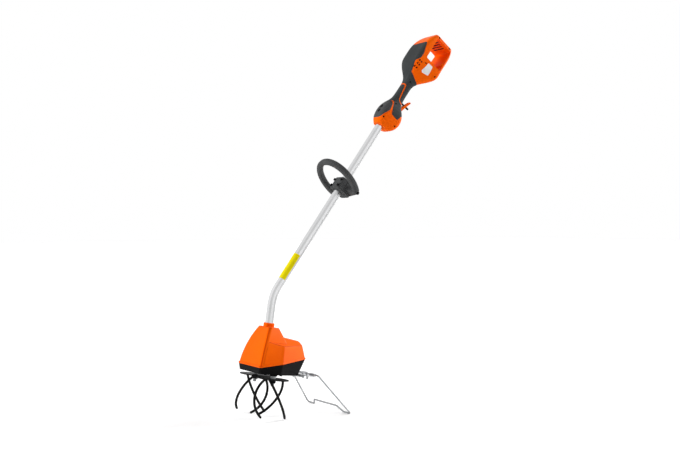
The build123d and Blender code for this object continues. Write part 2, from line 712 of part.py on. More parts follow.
def stand_wire():
    bridge = STAND_REACH - STAND_BRIDGE_RISE
    half = [
        (WIRE_SPLIT, 0),
        (STAND_TOP_HALF, 0),
        (STAND_FOOT_HALF, STAND_REACH),
        (STAND_FOOT_INNER, STAND_REACH),
        (STAND_BRIDGE_HALF, bridge),
    ]
    points = half + [(-x, q) for x, q in reversed(half)]
    path = STAND_PLANE * FilletPolyline(*points, radius=WIRE_BEND)
    section = Plane(origin=path @ 0, z_dir=path % 0)
    return sweep(section * Circle(WIRE_RADIUS), path=path)


def stand_bracket():
    under = BASE_BOTTOM - BRACKET_THICK
    outline = [
        (under, BRACKET_FRONT_Y),
        (under, BRACKET_BEND_Y + BRACKET_THICK),
        (BRACKET_SHELF - BRACKET_THICK, BRACKET_BEND_Y + BRACKET_THICK),
        (BRACKET_SHELF - BRACKET_THICK, STAND_Y),
        (BRACKET_SHELF, STAND_Y),
        (BRACKET_SHELF, BRACKET_BEND_Y),
        (BASE_BOTTOM, BRACKET_BEND_Y),
        (BASE_BOTTOM, BRACKET_FRONT_Y),
    ]
    strap = side_prism(outline, -BRACKET_HALF, BRACKET_HALF)
    plan = make_face(
        Polyline(
            (-BRACKET_NECK, BRACKET_FRONT_Y),
            (BRACKET_NECK, BRACKET_FRONT_Y),
            (BRACKET_NECK, BRACKET_BEND_Y - 4),
            (BRACKET_HALF, BRACKET_BEND_Y + 9),
            (BRACKET_HALF, STAND_Y + 5),
            (-BRACKET_HALF, STAND_Y + 5),
            (-BRACKET_HALF, BRACKET_BEND_Y + 9),
            (-BRACKET_NECK, BRACKET_BEND_Y - 4),
            close=True,
        )
    )
    body = strap & extrude(plan, amount=60)
    for start, end in BRACKET_KNUCKLES:
        body = body + cross_rod(WIRE_RADIUS + BRACKET_THICK, start, end, STAND_Y, STAND_Z)
    body = body - cross_rod(WIRE_RADIUS + SLIDE_FIT, -100, 100, STAND_Y, STAND_Z)
    for x, y in base_bolt_places() + saddle_bolt_places():
        body = body - rod(BRACKET_BOLT_RADIUS + SEAT_FIT, 0, 60, x, y)
    return body


def base_bolt_places():
    return [(side * BRACKET_BOLT_X, BRACKET_BOLT_Y) for side in (-1, 1)]


def saddle_bolt_places():
    return [(side * x, BRACKET_WING_Y) for side in (-1, 1) for x in BRACKET_WING_X]


def bracket_bolt(x, y, seat, end, head):
    shank = rod(BRACKET_BOLT_RADIUS, min(seat, end), max(seat, end), x, y)
    hexagon = RegularPolygon(BRACKET_HEAD_RADIUS, 6)
    return shank + Pos(x, y, head) * extrude(hexagon, amount=BRACKET_HEAD_THICK)


def stand_bolts():
    under = BASE_BOTTOM - BRACKET_THICK
    tip = BRACKET_SHELF - BRACKET_THICK - BRACKET_THREAD
    bolts = []
    for x, y in base_bolt_places():
        bolts.append(bracket_bolt(x, y, under, FLOOR_TOP - 0.5, under - BRACKET_HEAD_THICK))
    for x, y in saddle_bolt_places():
        bolts.append(bracket_bolt(x, y, BRACKET_SHELF, tip, BRACKET_SHELF))
    return Compound(bolts)


# Loop handle
LOOP = HANDLE * Location((0, 0, -LOOP_BACK))
LOOP_PLANE = Plane(
    origin=(0, 0, 0),
    x_dir=(1, 0, 0),
    z_dir=(0, -sin(radians(LOOP_TILT)), -cos(radians(LOOP_TILT))),
)
LOOP_END_X = LOOP_RADIUS * cos(radians(LOOP_OPEN))
LOOP_END_M = LOOP_CENTRE - LOOP_RADIUS * sin(radians(LOOP_OPEN))
CROSS_BOLT_S = -CROSS_BOLT_N * tan(radians(LOOP_TILT))


def loop_handle():
    width, depth = LOOP_BAR
    section = Pos(LOOP_RADIUS, 0) * RectangleRounded(depth, width, LOOP_BAR_CORNER)
    bar = revolve(Rot(90, 0, 0) * section, Axis.Z, 180 + 2 * LOOP_OPEN)
    bar = Rot(0, 0, -LOOP_OPEN) * bar
    bar = LOOP_PLANE.location * (Pos(0, LOOP_CENTRE, 0) * bar)
    right = [
        (CLAMP_HALF, -CLAMP_DROP - 2),
        (LOOP_END_X, LOOP_END_M - 8),
        (LOOP_END_X + 7, LOOP_END_M + 4),
        (CLAMP_HALF + 10, -12),
        (CLAMP_HALF, -5),
    ]
    points = right + [(-x, m) for x, m in reversed(right)]
    web = make_face(Polyline(*points, close=True))
    web = LOOP_PLANE.location * extrude(web, amount=WEB_THICK / 2, both=True)
    saddle = block(
        (-CLAMP_HALF, CLAMP_SPLIT / 2, -CLAMP_LENGTH / 2), (CLAMP_HALF, CLAMP_DROP, CLAMP_LENGTH / 2)
    )
    saddle = fillet(saddle.edges().filter_by(Axis.Z).group_by(Axis.Y)[-1], CLAMP_CORNER)
    body = bar + web + saddle
    body = body - block((-CLAMP_HALF - 1, -60, -60), (CLAMP_HALF + 1, CLAMP_SPLIT / 2, 60)) + (
        bar & block((-CLAMP_HALF - 1, -120, -90), (CLAMP_HALF + 1, -60, 90))
    )
    body = body - rod(TUBE_RADIUS + SLIDE_FIT, -80, 80)
    for x, s in clamp_bolt_places():
        body = body - bolt_hole(x, s)
    body = body - cross_rod(CROSS_BOLT_RADIUS + SEAT_FIT, -120, 120, CROSS_BOLT_N, CROSS_BOLT_S)
    for side in (-1, 1):
        ends = sorted((side * LOOP_END_X, side * 120))
        body = body - cross_rod(CROSS_HEAD_RADIUS + SKIN_GAP, ends[0], ends[1], CROSS_BOLT_N, CROSS_BOLT_S)
    return body


def clamp_bolt_places():
    return [(side * CLAMP_BOLT_X, end * CLAMP_BOLT_S) for side in (-1, 1) for end in (-1, 1)]


def bolt_hole(x, s):
    return Pos(x, 0, s) * (Rot(90, 0, 0) * Cylinder(CLAMP_BOLT_RADIUS + SEAT_FIT, 2 * CLAMP_SEAT + 2))


def clamp_cap():
    body = block(
        (-CLAMP_HALF, -CLAMP_RISE, -CLAMP_LENGTH / 2), (CLAMP_HALF, -CLAMP_SPLIT / 2, CLAMP_LENGTH / 2)
    )
    body = fillet(body.edges().filter_by(Axis.Z).group_by(Axis.Y)[0], CLAMP_CORNER)
    body = body - rod(TUBE_RADIUS + SLIDE_FIT, -80, 80)
    for x, s in clamp_bolt_places():
        body = body - bolt_hole(x, s)
        spot = Pos(x, -CLAMP_SEAT - 10, s) * (Rot(90, 0, 0) * Cylinder(CLAMP_HEAD_RADIUS + SKIN_GAP, 20))
        body = body - spot
    return body


def clamp_bolts():
    bolts = []
    for x, s in clamp_bolt_places():
        length = CLAMP_SEAT + CLAMP_BOLT_REACH
        shank = Pos(x, (CLAMP_BOLT_REACH - CLAMP_SEAT) / 2, s) * (
            Rot(90, 0, 0) * Cylinder(CLAMP_BOLT_RADIUS, length)
        )
        head = Pos(x, -CLAMP_SEAT - CLAMP_HEAD_HEIGHT / 2, s) * (
            Rot(90, 0, 0) * Cylinder(CLAMP_HEAD_RADIUS, CLAMP_HEAD_HEIGHT)
        )
        bolts.append(shank + head)
    return Compound(bolts)


def cross_bolt():
    shank = cross_rod(CROSS_BOLT_RADIUS, -LOOP_END_X - CROSS_HEAD_THICK, LOOP_END_X, 0, 0)
    head = Pos(LOOP_END_X, 0, 0) * (
        Rot(0, 90, 0) * extrude(RegularPolygon(CROSS_HEAD_RADIUS, 6), amount=CROSS_HEAD_THICK)
    )
    return Pos(0, CROSS_BOLT_N, CROSS_BOLT_S) * (shank + head)


def cross_nut():
    nut = Pos(-LOOP_END_X, 0, 0) * (
        Rot(0, -90, 0) * extrude(RegularPolygon(CROSS_HEAD_RADIUS, 6), amount=CROSS_HEAD_THICK)
    )
    nut = nut - cross_rod(CROSS_BOLT_RADIUS + SEAT_FIT, -120, 0, 0, 0)
    return Pos(0, CROSS_BOLT_N, CROSS_BOLT_S) * nut


# Rear handle
def station_at(place):
    for low, high in zip(HANDLE_STATIONS, HANDLE_STATIONS[1:]):
        if low[0] <= place <= high[0]:
            share = (place - low[0]) / (high[0] - low[0])
            return tuple(a + share * (b - a) for a, b in zip(low, high))


def handle_form():
    faces = []
    for place, half, top, under, corner in HANDLE_STATIONS:
        face = RectangleRounded(2 * half, under - top, corner)
        faces.append(Pos(0, (top + under) / 2, place) * face)
    return loft(faces)


def crown():
    """Everything in front of the rounded end of the battery bay."""
    front = block((-100, -100, -50), (100, 150, BAY_START))
    centre = CROWN_TOP - CROWN_RADIUS
    return front + Pos(0, 20, centre) * (Rot(90, 0, 0) * Cylinder(CROWN_RADIUS, 240))


def bay_opening():
    tall = BAY_BOTTOM - BAY_TOP
    long = BAY_END - BAY_START
    hole = Pos(0, (BAY_TOP + BAY_BOTTOM) / 2, (BAY_START + BAY_END) / 2) * Box(200, tall, long)
    hole = fillet(hole.edges().filter_by(Axis.X), BAY_CORNER)
    for across in BAY_SLOTS:
        slot = block(
            (-SLOT_HALF, across, BAY_END - 1), (SLOT_HALF, across + SLOT_WIDTH, BAY_END + SLOT_DEPTH)
        )
        hole = hole + slot
    return hole


def handle_hollow():
    """The room inside the handle, less the ribs, pillars and ledges left standing in it."""
    room = None
    for half, outline in HANDLE_ROOMS:
        part = side_prism(outline, -half, half)
        room = part if room is None else room + part
    for low, high in HANDLE_RIBS:
        room = room - block((-60, -60, low), (60, 90, high))
    for along, across in HANDLE_SCREWS:
        room = room - cross_rod(PILLAR_RADIUS, -60, 60, across, along)
    for (along, across), half in ((TRIGGER_PIVOT, TRIGGER_HALF), (LOCKOUT_PIVOT, LOCKOUT_HALF)):
        for side in (-1, 1):
            ends = sorted((side * (half + AXIAL_GAP), side * 60))
            room = room - cross_rod(PIVOT_BOSS, ends[0], ends[1], across, along)
    wide, thick, long = BOARD_SIZE
    x, across, along = BOARD_PLACE
    for side in (-1, 1):
        ends = sorted((side * (wide / 2 - LEDGE), side * 60))
        room = room - block(
            (ends[0], across + thick / 2, along - long / 2),
            (ends[1], across + thick / 2 + 4, along + long / 2),
        )
    return room


def button_holes():
    holes = None
    for along in BUTTON_PLACES:
        hole = Pos(0, -45, along) * (Rot(90, 0, 0) * Cylinder(BUTTON_RADIUS + SKIN_GAP, 40))
        holes = hole if holes is None else holes + hole
    return holes


def control_ports():
    wide = TRIGGER_HALF + AXIAL_GAP
    low, high = TRIGGER_PORT
    port = block((-wide, 11, low), (wide, 70, high))
    narrow = LOCKOUT_HALF + AXIAL_GAP
    low, high = LOCKOUT_PORT
    return port + block((-narrow, 9, low), (narrow, 70, high))


def handle_bores():
    tube = rod(TUBE_RADIUS + SEAT_FIT, -20, TUBE_IN_HANDLE + 2)
    cable = rod(CABLE_RADIUS + 1, 0, CABLE_TOP)
    bores = tube + cable
    for along, across in (TRIGGER_PIVOT, LOCKOUT_PIVOT):
        bores = bores + cross_rod(
            CONTROL_PIN_RADIUS + SEAT_FIT, -CONTROL_PIN_HALF - 0.2, CONTROL_PIN_HALF + 0.2, across, along
        )
    return bores


def vents():
    cut = None
    tall, wide = VENT_SIZE
    for along in VENT_ROWS:
        for across in VENT_COLUMNS:
            slot = Pos(0, across, along) * Box(200, wide, tall)
            cut = slot if cut is None else cut + slot
    return cut


def screw_cuts():
    cut = None
    for along, across in HANDLE_SCREWS:
        face = station_at(along)[1]
        hole = cross_rod(SCREW_RADIUS + SEAT_FIT, -SCREW_REACH - 0.3, face, across, along)
        hole = hole + cross_rod(SCREW_RECESS, face - SCREW_DEPTH, face + 20, across, along)
        cut = hole if cut is None else cut + hole
    return cut


def handle_screws():
    screws = []
    for along, across in HANDLE_SCREWS:
        seat = station_at(along)[1] - SCREW_DEPTH
        shank = cross_rod(SCREW_RADIUS, -SCREW_REACH, seat, across, along)
        head = cross_rod(SCREW_HEAD_RADIUS, seat, seat + SCREW_HEAD_THICK, across, along)
        socket = Pos(seat + SCREW_HEAD_THICK, across, along) * Box(2.4, 0.9, 3.6)
        screws.append(shank + head - socket)
    return Compound(screws)


def handle_pieces():
    form = handle_form() & crown()
    form = fillet(form.edges().filter_by(lambda e: e.center().Z > BAY_END), END_ROUND)
    room = handle_hollow()
    cap = side_prism(KEYPAD_OUTLINE, -80, 80)
    cap_seat = side_prism(KEYPAD_OUTLINE, -80, 80, SEAT_FIT)
    shell = form - cap_seat - room - bay_opening()
    for cut in (control_ports(), screw_cuts(), handle_bores(), vents()):
        shell = shell - cut
    return {
        "handle_left_shell": split(shell, bisect_by=Plane.YZ, keep=Keep.TOP),
        "handle_right_shell": split(shell, bisect_by=Plane.YZ, keep=Keep.BOTTOM),
        "keypad_panel": (form & cap) - room - button_holes(),
    }


def handle_button(along):
    stem = Pos(0, (BUTTON_TOP + BUTTON_FOOT) / 2, along) * (
        Rot(90, 0, 0) * Cylinder(BUTTON_RADIUS, BUTTON_FOOT - BUTTON_TOP)
    )
    stem = chamfer(stem.edges().filter_by(GeomType.CIRCLE).group_by(Axis.Y)[0], 0.8)
    flange = Pos(0, BUTTON_FLANGE + 1, along) * (Rot(90, 0, 0) * Cylinder(BUTTON_RADIUS + 1.8, 2))
    return stem + flange


def power_trigger():
    lever = side_prism(TRIGGER_OUTLINE, -TRIGGER_HALF, TRIGGER_HALF)
    along, across = TRIGGER_PIVOT
    lever = lever + cross_rod(TRIGGER_HUB, -TRIGGER_HALF, TRIGGER_HALF, across, along)
    low, high = TRIGGER_SLOT
    lever = lever - block((-LOCKOUT_SLOT, 25, low), (LOCKOUT_SLOT, 70, high))
    lever = lever - cross_rod(TRIGGER_HUB + 4, TRIGGER_HALF - SPRING_LENGTH - 1, 20, across, along)
    return lever - cross_rod(CONTROL_PIN_RADIUS + RUNNING_FIT, -20, 20, across, along)


def trigger_lockout():
    along, across = LOCKOUT_PIVOT
    outline = [
        (along - LOCKOUT_THICK / 2, across),
        (along + LOCKOUT_THICK / 2, across),
        (along + LOCKOUT_THICK / 2 + LOCKOUT_LEAN, LOCKOUT_REACH),
        (along - LOCKOUT_THICK / 2 + LOCKOUT_LEAN, LOCKOUT_REACH),
    ]
    bar = side_prism(outline, -LOCKOUT_HALF, LOCKOUT_HALF)
    bar = bar + cross_rod(LOCKOUT_HUB, -LOCKOUT_HALF, LOCKOUT_HALF, across, along)
    return bar - cross_rod(CONTROL_PIN_RADIUS + RUNNING_FIT, -20, 20, across, along)


def control_pins():
    pins = []
    for along, across in (TRIGGER_PIVOT, LOCKOUT_PIVOT):
        pins.append(cross_rod(CONTROL_PIN_RADIUS, -CONTROL_PIN_HALF, CONTROL_PIN_HALF, across, along))
    return Compound(pins)


def trigger_spring():
    along, across = TRIGGER_PIVOT
    high = TRIGGER_HALF + AXIAL_GAP
    coil = cross_rod(SPRING_RADIUS, high - SPRING_LENGTH, high, across, along)
    return coil - cross_rod(CONTROL_PIN_RADIUS + SEAT_FIT, 0, 20, across, along)


def placed_box(size, place):
    return Pos(*place) * Box(*size)


def battery_terminal_block():
    wide, tall, deep = TERMINAL_BLOCK
    body = placed_box((wide, tall, deep), (0, TERMINAL_N, BAY_START + deep / 2))
    for x in CONTACT_X:
        place = (x, TERMINAL_N, BAY_START + deep / 2 + 1.5)
        body = body - placed_box((CONTACT_SLOT, tall - 6, deep), place)
    return body


def battery_contacts():
    wide, tall, deep = TERMINAL_BLOCK
    size = (CONTACT_THICK, tall - 8, deep - 2.5)
    blades = [placed_box(size, (x, TERMINAL_N, BAY_START + 1.5 + size[2] / 2)) for x in CONTACT_X]
    return Compound(blades)


def battery_guide_rail():
    return block(
        (-RAIL_HALF, BAY_BOTTOM - RAIL_RISE, RAIL_PLACE - RAIL_WIDTH / 2),
        (RAIL_HALF, BAY_BOTTOM, RAIL_PLACE + RAIL_WIDTH / 2),
    )


def base_screws():
    screws = []
    for x, y in BASE_SCREW_PLACES:
        shank = rod(BASE_SCREW_RADIUS, BASE_BOTTOM, BASE_BOTTOM + 9, x, y)
        head = rod(BASE_SCREW_RADIUS * 2, BASE_BOTTOM - 2.4, BASE_BOTTOM, x, y)
        socket = Pos(x, y, BASE_BOTTOM - 2.4) * extrude(RegularPolygon(1.5, 6), amount=1.2)
        screws.append(shank + head - socket)
    return Compound(screws)


# Assembly
for name, shape in handle_pieces().items():
    keep(name, shape, HANDLE)
keep("power_button", handle_button(BUTTON_PLACES[0]), HANDLE)
keep("mode_button", handle_button(BUTTON_PLACES[1]), HANDLE)
keep("power_trigger", power_trigger(), HANDLE)
keep("trigger_lockout", trigger_lockout(), HANDLE)
keep("control_pins", control_pins(), HANDLE)
keep("trigger_spring", trigger_spring(), HANDLE)
keep("trigger_switch", placed_box(SWITCH_SIZE, SWITCH_PLACE), HANDLE)
keep("control_board", placed_box(BOARD_SIZE, BOARD_PLACE), HANDLE)
keep("battery_terminal_block", battery_terminal_block(), HANDLE)
keep("battery_contacts", battery_contacts(), HANDLE)
keep("battery_guide_rail", battery_guide_rail(), HANDLE)
keep("handle_screws", handle_screws(), HANDLE)
keep("shaft_tube", shaft_tube(), HEAD)
keep("motor_cable", motor_cable(), HEAD)
keep("loop_handle", loop_handle(), LOOP)
keep("loop_clamp_cap", clamp_cap(), LOOP)
keep("loop_clamp_bolts", clamp_bolts(), LOOP)
keep("loop_cross_bolt", cross_bolt(), LOOP)
keep("loop_cross_nut", cross_nut(), LOOP)
keep("head_cover", head_cover(), HEAD)
keep("base_tub", base_tub(), HEAD)
keep("neck_collar", neck_collar(), HEAD)
keep("neck_screw", neck_screw(), HEAD)
keep("gear_plate", gear_plate(), HEAD)
keep("plate_screws", plate_screws(), HEAD)
keep("base_screws", base_screws(), HEAD)
keep("drive_motor", drive_motor(), HEAD)
keep("stand_bracket", stand_bracket(), HEAD)
keep("stand_bolts", stand_bolts(), HEAD)
keep("stand_wire", stand_wire(), Location())

train_high = TRAIN_BOTTOM + TRAIN_FACE
reduction_high = REDUCTION_BOTTOM + REDUCTION_FACE
motor_place = HEAD * Pos(0, MOTOR_Y, 0)
lay_place = HEAD * Pos(LAY_X, LAY_Y, 0)
pin_bore = PIN_RADIUS + RUNNING_FIT
idler = (IDLER_TEETH, TRAIN_MODULE, TRAIN_BOTTOM, train_high, pin_bore)
output = (OUTPUT_TEETH, TRAIN_MODULE, TRAIN_BOTTOM, train_high, SHAFT_RADIUS + SEAT_FIT)
keep("idler_gear_left", gear(*idler, IDLER_LEFT_PHASE), HEAD * Pos(IDLER_PITCH, 0, 0))
keep("idler_gear_right", gear(*idler, IDLER_RIGHT_PHASE), HEAD * Pos(-IDLER_PITCH, 0, 0))
keep("idler_pins", Compound([idler_pin(IDLER_PITCH), idler_pin(-IDLER_PITCH)]), HEAD)
keep("layshaft", layshaft(), lay_place)
lay_bore = LAY_RADIUS + SEAT_FIT
keep(
    "layshaft_pinion",
    gear(LAY_PINION_TEETH, TRAIN_MODULE, TRAIN_BOTTOM, train_high + 0.6, lay_bore, LAY_PHASE),
    lay_place,
)
keep(
    "reduction_gear",
    gear(REDUCTION_TEETH, MOTOR_MODULE, REDUCTION_BOTTOM, reduction_high, lay_bore, REDUCTION_PHASE),
    lay_place,
)
keep("motor_shaft", motor_shaft(), motor_place)
keep(
    "motor_pinion",
    gear(
        MOTOR_PINION_TEETH,
        MOTOR_MODULE,
        REDUCTION_BOTTOM - 0.5,
        reduction_high + 0.5,
        MOTOR_SHAFT_RADIUS + SEAT_FIT,
        MOTOR_PHASE,
    ),
    motor_place,
)
for side, x, phase, root, turn in (
    ("left", ROTOR_X, LEFT_PHASE, LEFT_ROOT_ANGLE, 1),
    ("right", -ROTOR_X, RIGHT_PHASE, RIGHT_ROOT_ANGLE, -1),
):
    rotor_place = HEAD * Pos(x, 0, 0)
    keep(side + "_output_shaft", output_shaft(), rotor_place)
    keep(side + "_output_gear", gear(*output, phase), rotor_place)
    keep(side + "_tine_disc", tine_disc(), rotor_place)
    keep(side + "_tines", tines(root, turn), rotor_place)
    keep(side + "_hub_nut", hub_nut(), rotor_place)
both = (Pos(ROTOR_X, 0, 0), Pos(-ROTOR_X, 0, 0))
lower_bearing = bearing(BEARING_RADIUS, TRAIN_BOTTOM - AXIAL_GAP - 1 - BEARING_WIDTH, BEARING_WIDTH)
bush_foot = PLATE_BOTTOM + 1
upper_bush = ring(BUSH_RADIUS, SHAFT_RADIUS + RUNNING_FIT, bush_foot, bush_foot + BEARING_WIDTH)
seal = ring(
    BEARING_RADIUS, SHAFT_RADIUS + SKIN_GAP, BASE_BOTTOM - BOSS_DROP, BASE_BOTTOM - BOSS_DROP + SEAL_WIDTH
)
keep("lower_bearings", Compound([place * lower_bearing for place in both]), HEAD)
keep("upper_bushes", Compound([place * upper_bush for place in both]), HEAD)
keep("shaft_seals", Compound([place * seal for place in both]), HEAD)

# Origin at the middle of the footprint, on the floor
bounds = Compound([shape for shape in pieces.values()]).bounding_box()
CENTRE = Pos(-(bounds.min.X + bounds.max.X) / 2, -(bounds.min.Y + bounds.max.Y) / 2, -bounds.min.Z)
os.makedirs("parts", exist_ok=True)
for name, shape in pieces.items():
    export_step(CENTRE * shape, "parts/" + name + ".step")


def show(label, place):
    point = (CENTRE * place).position
    print(label, [round(value / 1000, 6) for value in (point.X, point.Y, point.Z)])


def direction(frame, vector):
    moved = (frame * Pos(*vector)).position - frame.position
    return [round(value, 6) for value in (moved.X, moved.Y, moved.Z)]


print("size", [round(value, 2) for value in (bounds.size.X, bounds.size.Y, bounds.size.Z)])
show("rotor_left", HEAD * Pos(ROTOR_X, 0, 0))
show("rotor_right", HEAD * Pos(-ROTOR_X, 0, 0))
show("idler_left", HEAD * Pos(IDLER_PITCH, 0, TRAIN_BOTTOM))
show("idler_right", HEAD * Pos(-IDLER_PITCH, 0, TRAIN_BOTTOM))
show("layshaft", lay_place)
show("motor", motor_place)
show("stand", STAND_PIVOT)
show("trigger", HANDLE * Pos(0, TRIGGER_PIVOT[1], TRIGGER_PIVOT[0]))
show("lockout", HANDLE * Pos(0, LOCKOUT_PIVOT[1], LOCKOUT_PIVOT[0]))
show("bay middle", HANDLE * Pos(0, (BAY_TOP + BAY_BOTTOM) / 2, (BAY_START + BAY_END) / 2))
show("handle frame", HANDLE)
show("head frame", HEAD)
show("loop frame", LOOP)
print("head axis", direction(HEAD, (0, 0, 1)), "tube axis", direction(HANDLE, (0, 0, 1)))
print("button press", direction(HANDLE, (0, 1, 0)))
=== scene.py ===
import json
import math

import bmesh
import bpy
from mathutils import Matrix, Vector
from mathutils.bvhtree import BVHTree


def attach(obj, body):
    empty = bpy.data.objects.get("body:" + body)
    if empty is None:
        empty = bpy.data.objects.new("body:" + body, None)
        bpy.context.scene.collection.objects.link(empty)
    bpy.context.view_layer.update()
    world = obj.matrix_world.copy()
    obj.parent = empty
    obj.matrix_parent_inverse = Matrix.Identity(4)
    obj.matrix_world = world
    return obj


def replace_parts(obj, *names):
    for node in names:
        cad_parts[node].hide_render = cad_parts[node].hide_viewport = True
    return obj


# Cordless cultivator, parked on its stand.
# Row frame in metres: +Z up, +Y to the operator, +X the machine's left.
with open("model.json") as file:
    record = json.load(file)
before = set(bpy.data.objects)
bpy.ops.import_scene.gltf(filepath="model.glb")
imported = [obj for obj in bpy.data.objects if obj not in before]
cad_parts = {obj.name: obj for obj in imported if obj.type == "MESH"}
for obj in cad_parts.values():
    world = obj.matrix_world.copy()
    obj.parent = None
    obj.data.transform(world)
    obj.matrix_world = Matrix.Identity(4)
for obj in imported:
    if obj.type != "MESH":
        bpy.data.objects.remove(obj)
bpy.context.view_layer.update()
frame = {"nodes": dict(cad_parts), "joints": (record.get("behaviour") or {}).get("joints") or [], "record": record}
nodes = frame["nodes"]
joints = {joint["name"]: joint for joint in frame["joints"]}
scene = bpy.context.scene
scene.view_settings.view_transform = "Standard"
MM = 0.001


def joint_place(name):
    """Where a joint sits, as a row point."""
    return Vector(joints[name]["pos_m"])


# Working frame of the head: back, and up along the rotor shafts
SIDEWAYS = Vector((1, 0, 0))
HEAD_UP = Vector(joints["rotor_left_spin"]["axis"])
HEAD_BACK = HEAD_UP.cross(SIDEWAYS)
ROTORS = (joint_place("rotor_left_spin") + joint_place("rotor_right_spin")) / 2
# Working frame of the handle: along the upper tube and under to its underside, found from the trigger's pivot
ALONG = Vector(joints["loop_adjust"]["axis"])
UNDER = ALONG.cross(SIDEWAYS)
TRIGGER_PIVOT = (97, 22)
PIVOT_REACH = (ALONG * TRIGGER_PIVOT[0] + UNDER * TRIGGER_PIVOT[1]) * MM
HANDLE_ORIGIN = joint_place("trigger_pull") - PIVOT_REACH


def on_handle(x, along, across):
    """Row point from handle sizes in millimetres."""
    return HANDLE_ORIGIN + (SIDEWAYS * x + ALONG * along + UNDER * across) * MM


# Camera, as the photograph was taken: level, from the front left, placed from the line of the rotor shafts
CAMERA_OFFSET = Vector((2.488, -1.4015, 0.4524))
CAMERA_PLACE = ROTORS + CAMERA_OFFSET
VIEW = Vector((-0.829, 0.559, 0)).normalized()
camera = bpy.data.objects.new("camera", bpy.data.cameras.new("camera"))
scene.collection.objects.link(camera)
camera.location = CAMERA_PLACE
camera.rotation_euler = VIEW.to_track_quat("-Z", "Y").to_euler()
camera.data.lens = 50
camera.data.sensor_width = 36
scene.camera = camera

# Materials
PATCHES_PER_METRE = 14.0
TONE_SPREAD = (0.35, 0.65)
BUMP_STRENGTH = 0.5


def linear(code):
    """sRGB hex to linear colour."""
    parts = [int(code[i : i + 2], 16) / 255 for i in (1, 3, 5)]
    return tuple(c / 12.92 if c <= 0.04045 else ((c + 0.055) / 1.055) ** 2.4 for c in parts) + (1.0,)


def add(tree, kind, settings, links=()):
    """One node, with its settings by socket or property name and its links as (input, output)."""
    node = tree.nodes.new(kind)
    for name, value in settings.items():
        if isinstance(name, str) and hasattr(node, name):
            setattr(node, name, value)
        else:
            node.inputs[name].default_value = value
    for name, output in links:
        tree.links.new(output, node.inputs[name])
    return node


def surface(name, shade, light, grain, depth, rough, stretch=(1, 1, 1), turn=0.0, edge=None, **shader):
    """A moulded, drawn or coated surface: colour drifting between two tones, a grain of a size and depth in
    millimetres, stretched along a direction if it is drawn, and gloss that follows the grain. Fine grains are
    drawn coarser than the real ones, so that they show. Where an edge colour is given, the mesh's
    painted_edge_shade attribute mixes it in as painted shade along the edges."""
    material = bpy.data.materials.new(name)
    material.use_nodes = True
    tree = material.node_tree
    tree.nodes.clear()
    place = add(tree, "ShaderNodeTexCoord", {}).outputs["Object"]
    drawn = add(tree, "ShaderNodeMapping", {"Rotation": (turn, 0, 0)}, [("Vector", place)])
    drawn = add(tree, "ShaderNodeMapping", {"Scale": stretch}, [("Vector", drawn.outputs["Vector"])])
    patches = {"Scale": PATCHES_PER_METRE, "Detail": 3.0}
    drift = add(tree, "ShaderNodeTexNoise", patches, [("Vector", place)])
    tone = add(tree, "ShaderNodeValToRGB", {}, [("Fac", drift.outputs["Fac"])])
    for stop, position, code in zip(tone.color_ramp.elements, TONE_SPREAD, (shade, light)):
        stop.position = position
        stop.color = linear(code)
    colour = tone.outputs["Color"]
    # Painted shade: the edge colour darkens the surface where the mesh marks its edges
    if edge:
        share = add(tree, "ShaderNodeAttribute", {"attribute_name": "painted_edge_shade"})
        mix = add(
            tree,
            "ShaderNodeMixRGB",
            {"Color2": linear(edge)},
            [("Fac", share.outputs["Fac"]), ("Color1", colour)],
        )
        colour = mix.outputs["Color"]
    grit = {"Scale": 1 / (2 * grain * MM), "Detail": 2.0}
    fine = add(tree, "ShaderNodeTexNoise", grit, [("Vector", drawn.outputs["Vector"])]).outputs["Fac"]
    gloss = add(tree, "ShaderNodeMapRange", {"To Min": rough[0], "To Max": rough[1]}, [("Value", fine)])
    bump = add(
        tree, "ShaderNodeBump", {"Strength": BUMP_STRENGTH, "Distance": depth * MM}, [("Height", fine)]
    )
    body = add(
        tree,
        "ShaderNodeBsdfPrincipled",
        shader,
        [
            ("Base Color", colour),
            ("Roughness", gloss.outputs["Result"]),
            ("Normal", bump.outputs["Normal"]),
        ],
    )
    add(tree, "ShaderNodeOutputMaterial", {}, [("Surface", body.outputs["BSDF"])])
    return material


PLASTIC = {"IOR": 1.5, "Specular IOR Level": 0.3}
SATIN = {"IOR": 1.5, "Specular IOR Level": 0.03}
DULL = {"IOR": 1.5, "Specular IOR Level": 0.07}
METAL = {"Metallic": 1.0}
TUBE_TURN = math.atan2(ALONG.y, ALONG.z)
TUBE_DRAWN = (1, 1, 0.03)

# Orange ABS from a fine satin mould: strong even colour and a soft highlight
ORANGE = surface("orange_abs_moulded", "#F96000", "#FD6600", 0.5, 0.010, (0.34, 0.46), **SATIN)
# The same moulding with painted shade: a deeper orange laid along its rounded edges
COVER_EDGE_SHADE = surface("orange_abs_painted_edge_shade", "#F96000", "#FD6600", 0.5, 0.010, (0.34, 0.46), edge="#C43A00", **SATIN)
# Glass-filled black nylon from a spark-eroded mould: dull and slightly mottled
BLACK = surface("black_nylon_moulded", "#060607", "#0A0A0B", 0.6, 0.03, (0.46, 0.62), **DULL)
# Grey thermoplastic elastomer: matt, warm to the touch, no sharp highlight
GREY = surface("grey_tpe_soft", "#454647", "#4E4F4F", 0.7, 0.04, (0.58, 0.74), **DULL)
# The darker elastomer moulded over the grip: matt, a shade below the other grey
GRIP = surface("dark_grey_tpe_grip", "#343738", "#3C3F40", 0.7, 0.04, (0.58, 0.74), **DULL)
# Drawn aluminium tube, clear anodised: bright with faint lines along it
TUBE = surface(
    "anodised_aluminium_tube", "#DFE0E1", "#E5E5E6", 1.2, 0.001, (0.16, 0.22), TUBE_DRAWN, TUBE_TURN, **METAL
)
# Steel under black powder coat: near black with a weak highlight
ENAMEL = surface("black_powder_coat", "#0C0C0D", "#131314", 1.1, 0.02, (0.36, 0.5), **DULL)
